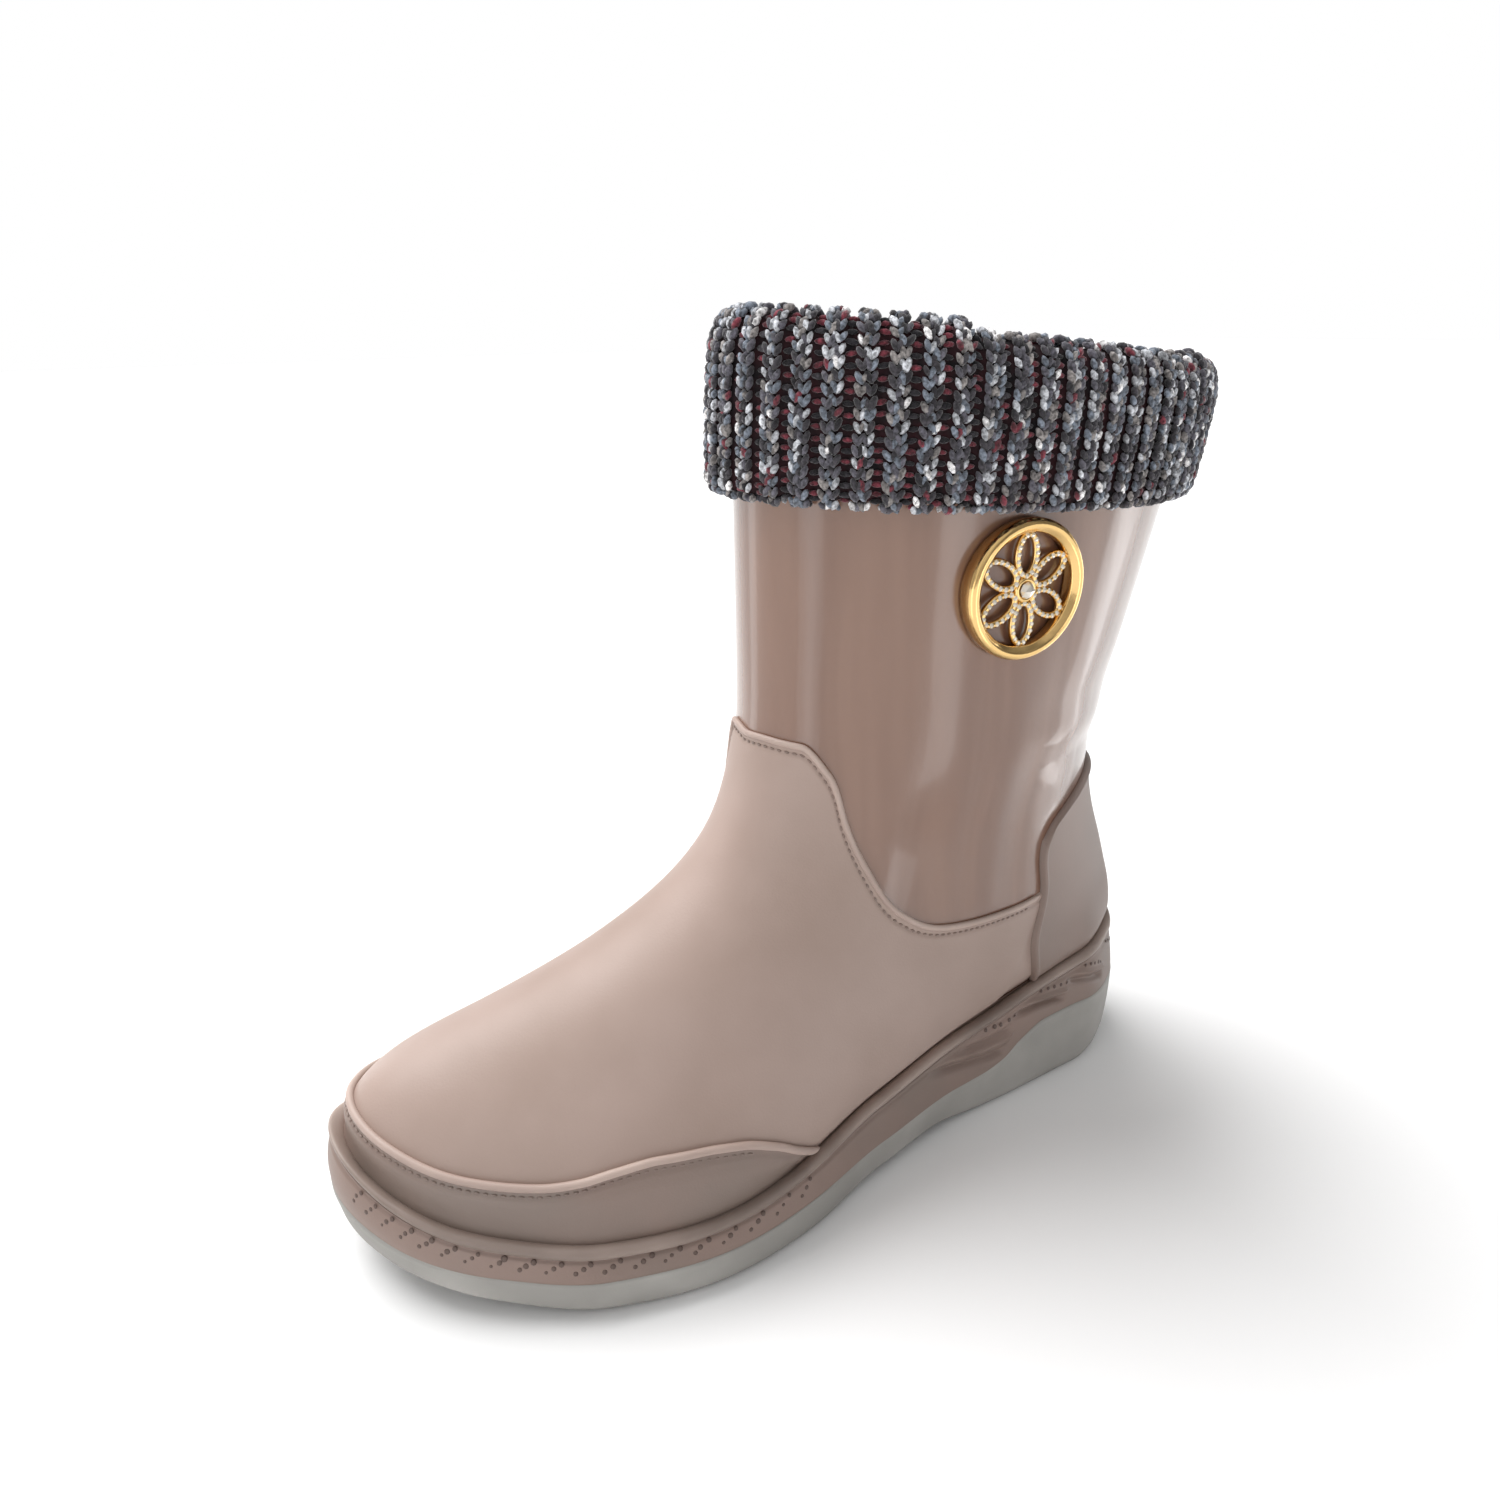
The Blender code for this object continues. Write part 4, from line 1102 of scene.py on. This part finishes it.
def studio():
    """White room: seen plain by the camera, it lights with soft upright panels, brighter above."""
    world = bpy.data.worlds.new("studio")
    world.use_nodes = True
    tree = world.node_tree
    coords = add(tree, "ShaderNodeTexCoord").outputs["Generated"]
    tall = add(tree, "ShaderNodeMapping", {"Vector": coords, "Scale": (2.6, 2.6, 0.5)})
    panels = add(tree, "ShaderNodeTexNoise", {"Vector": tall.outputs[0], "Scale": 1.0, "Detail": 1.0})
    patch = add(
        tree, "ShaderNodeMapRange",
        {"Value": panels.outputs["Fac"], "From Min": 0.4, "From Max": 0.6, "To Min": 0.6, "To Max": 1.3})
    toward = add(tree, "ShaderNodeVectorMath", {0: coords, 1: (-0.25, -0.7, 0.67)}, operation="DOT_PRODUCT")
    side = add(
        tree, "ShaderNodeMapRange",
        {"Value": toward.outputs["Value"], "From Min": -0.5, "From Max": 0.9, "To Min": 0.2, "To Max": 0.75})
    level = add(tree, "ShaderNodeMath", {0: patch.outputs[0], 1: side.outputs[0]}, operation="MULTIPLY")
    seen = add(tree, "ShaderNodeLightPath").outputs["Is Camera Ray"]
    mix = add(tree, "ShaderNodeMix", {"Factor": seen})
    tree.links.new(level.outputs[0], mix.inputs[2])
    mix.inputs[3].default_value = 1.0
    tree.links.new(mix.outputs[0], tree.nodes["Background"].inputs[1])
    tree.nodes["Background"].inputs[0].default_value = (1, 1, 1, 1)
    return world


class BOOT_OT_stage(bpy.types.Operator):
    """Pale floor, soft studio light and the photograph's camera."""

    bl_idname = "boot.stage"
    bl_label = "Stage"

    def execute(self, context):
        scene = context.scene
        scene.view_settings.view_transform = "Standard"
        floor = bpy.data.meshes.new("floor")
        floor.from_pydata([(-8, -8, 0), (8, -8, 0), (8, 8, 0), (-8, 8, 0)], [], [(0, 1, 2, 3)])
        floor = bpy.data.objects.new("floor", floor)
        scene.collection.objects.link(floor)
        made, tree, shader = material("White paper sweep", {"Base Color": linear("FAFAFA"), "Roughness": 0.9})
        floor.data.materials.append(made)
        scene.world = studio()
        sun = bpy.data.lights.new("key", "SUN")
        sun.energy, sun.angle = 3.2, radians(50)
        sun = bpy.data.objects.new("key", sun)
        scene.collection.objects.link(sun)
        sun.matrix_world = turned((-0.7, -0.3, 1.25), (0, 0, 0))
        axis = np.array([-0.002, 0.057])
        for angle, away, wide, bright in STRIPS:
            turn = radians(CAMERA["azimuth"] - 10 + angle)
            foot = axis + away * np.array([sin(turn), -cos(turn)])
            strip(f"strip_{angle:.0f}", (*foot, 0.11), (*axis, 0.11), (wide, 0.21), bright)
        camera_data = bpy.data.cameras.new("photo_camera")
        camera_data.sensor_width = 36
        camera_data.lens = CAMERA["focal_px"] / 1500 * 36
        camera_data.clip_start = 0.01
        camera = bpy.data.objects.new("photo_camera", camera_data)
        scene.collection.objects.link(camera)
        az, yaw = radians(CAMERA["azimuth"]), radians(CAMERA["azimuth"] + CAMERA["aim_off"])
        down, roll = radians(CAMERA["down"]), radians(CAMERA["roll"])
        place = np.array([sin(az) * CAMERA["away"], -cos(az) * CAMERA["away"], CAMERA["high"]])
        ahead = np.array([-sin(yaw) * cos(down), cos(yaw) * cos(down), -sin(down)])
        right = np.array([cos(yaw), sin(yaw), 0.0])
        up = np.cross(right, ahead)
        x, y = cos(roll) * right + sin(roll) * up, -sin(roll) * right + cos(roll) * up
        camera.matrix_world = Matrix.Translation((place - ORIGIN) / 1000) @ Matrix(np.column_stack([x, y, -ahead]).tolist()).to_4x4()
        scene.camera = camera
        return {"FINISHED"}


class BOOT_PT_panel(bpy.types.Panel):
    """Lists the boot's sizes, colours and pieces."""

    bl_idname = "BOOT_PT_panel"
    bl_label = "Rubber Boot"
    bl_space_type = "VIEW_3D"
    bl_region_type = "UI"
    bl_category = "Rubber Boot"

    def draw(self, context):
        for group in (context.scene.boot_sizes, context.scene.boot_colours):
            box = self.layout.box()
            for name in group.__annotations__:
                box.prop(group, name)
        for piece in PIECES:
            self.layout.operator(piece.bl_idname)


PIECES = (BOOT_OT_shaft, BOOT_OT_galosh, BOOT_OT_toe_guard, BOOT_OT_heel_counter, BOOT_OT_seams, BOOT_OT_sole,
          BOOT_OT_insole, BOOT_OT_knit_cuff, BOOT_OT_badge, BOOT_OT_stage)
CLASSES = (BootSizes, BootColours, *PIECES, BOOT_PT_panel)


def register():
    for cls in CLASSES:
        bpy.utils.register_class(cls)
    bpy.types.Scene.boot_sizes = bpy.props.PointerProperty(type=BootSizes)
    bpy.types.Scene.boot_colours = bpy.props.PointerProperty(type=BootColours)


def unregister():
    del bpy.types.Scene.boot_sizes
    del bpy.types.Scene.boot_colours
    for cls in reversed(CLASSES):
        bpy.utils.unregister_class(cls)


def main():
    register()
    bpy.ops.boot.shaft()
    bpy.ops.boot.galosh()
    bpy.ops.boot.toe_guard()
    bpy.ops.boot.heel_counter()
    bpy.ops.boot.seams()
    bpy.ops.boot.sole()
    bpy.ops.boot.insole()
    bpy.ops.boot.knit_cuff()
    bpy.ops.boot.badge()
    bpy.ops.boot.stage()


if __name__ == "__main__":
    main()
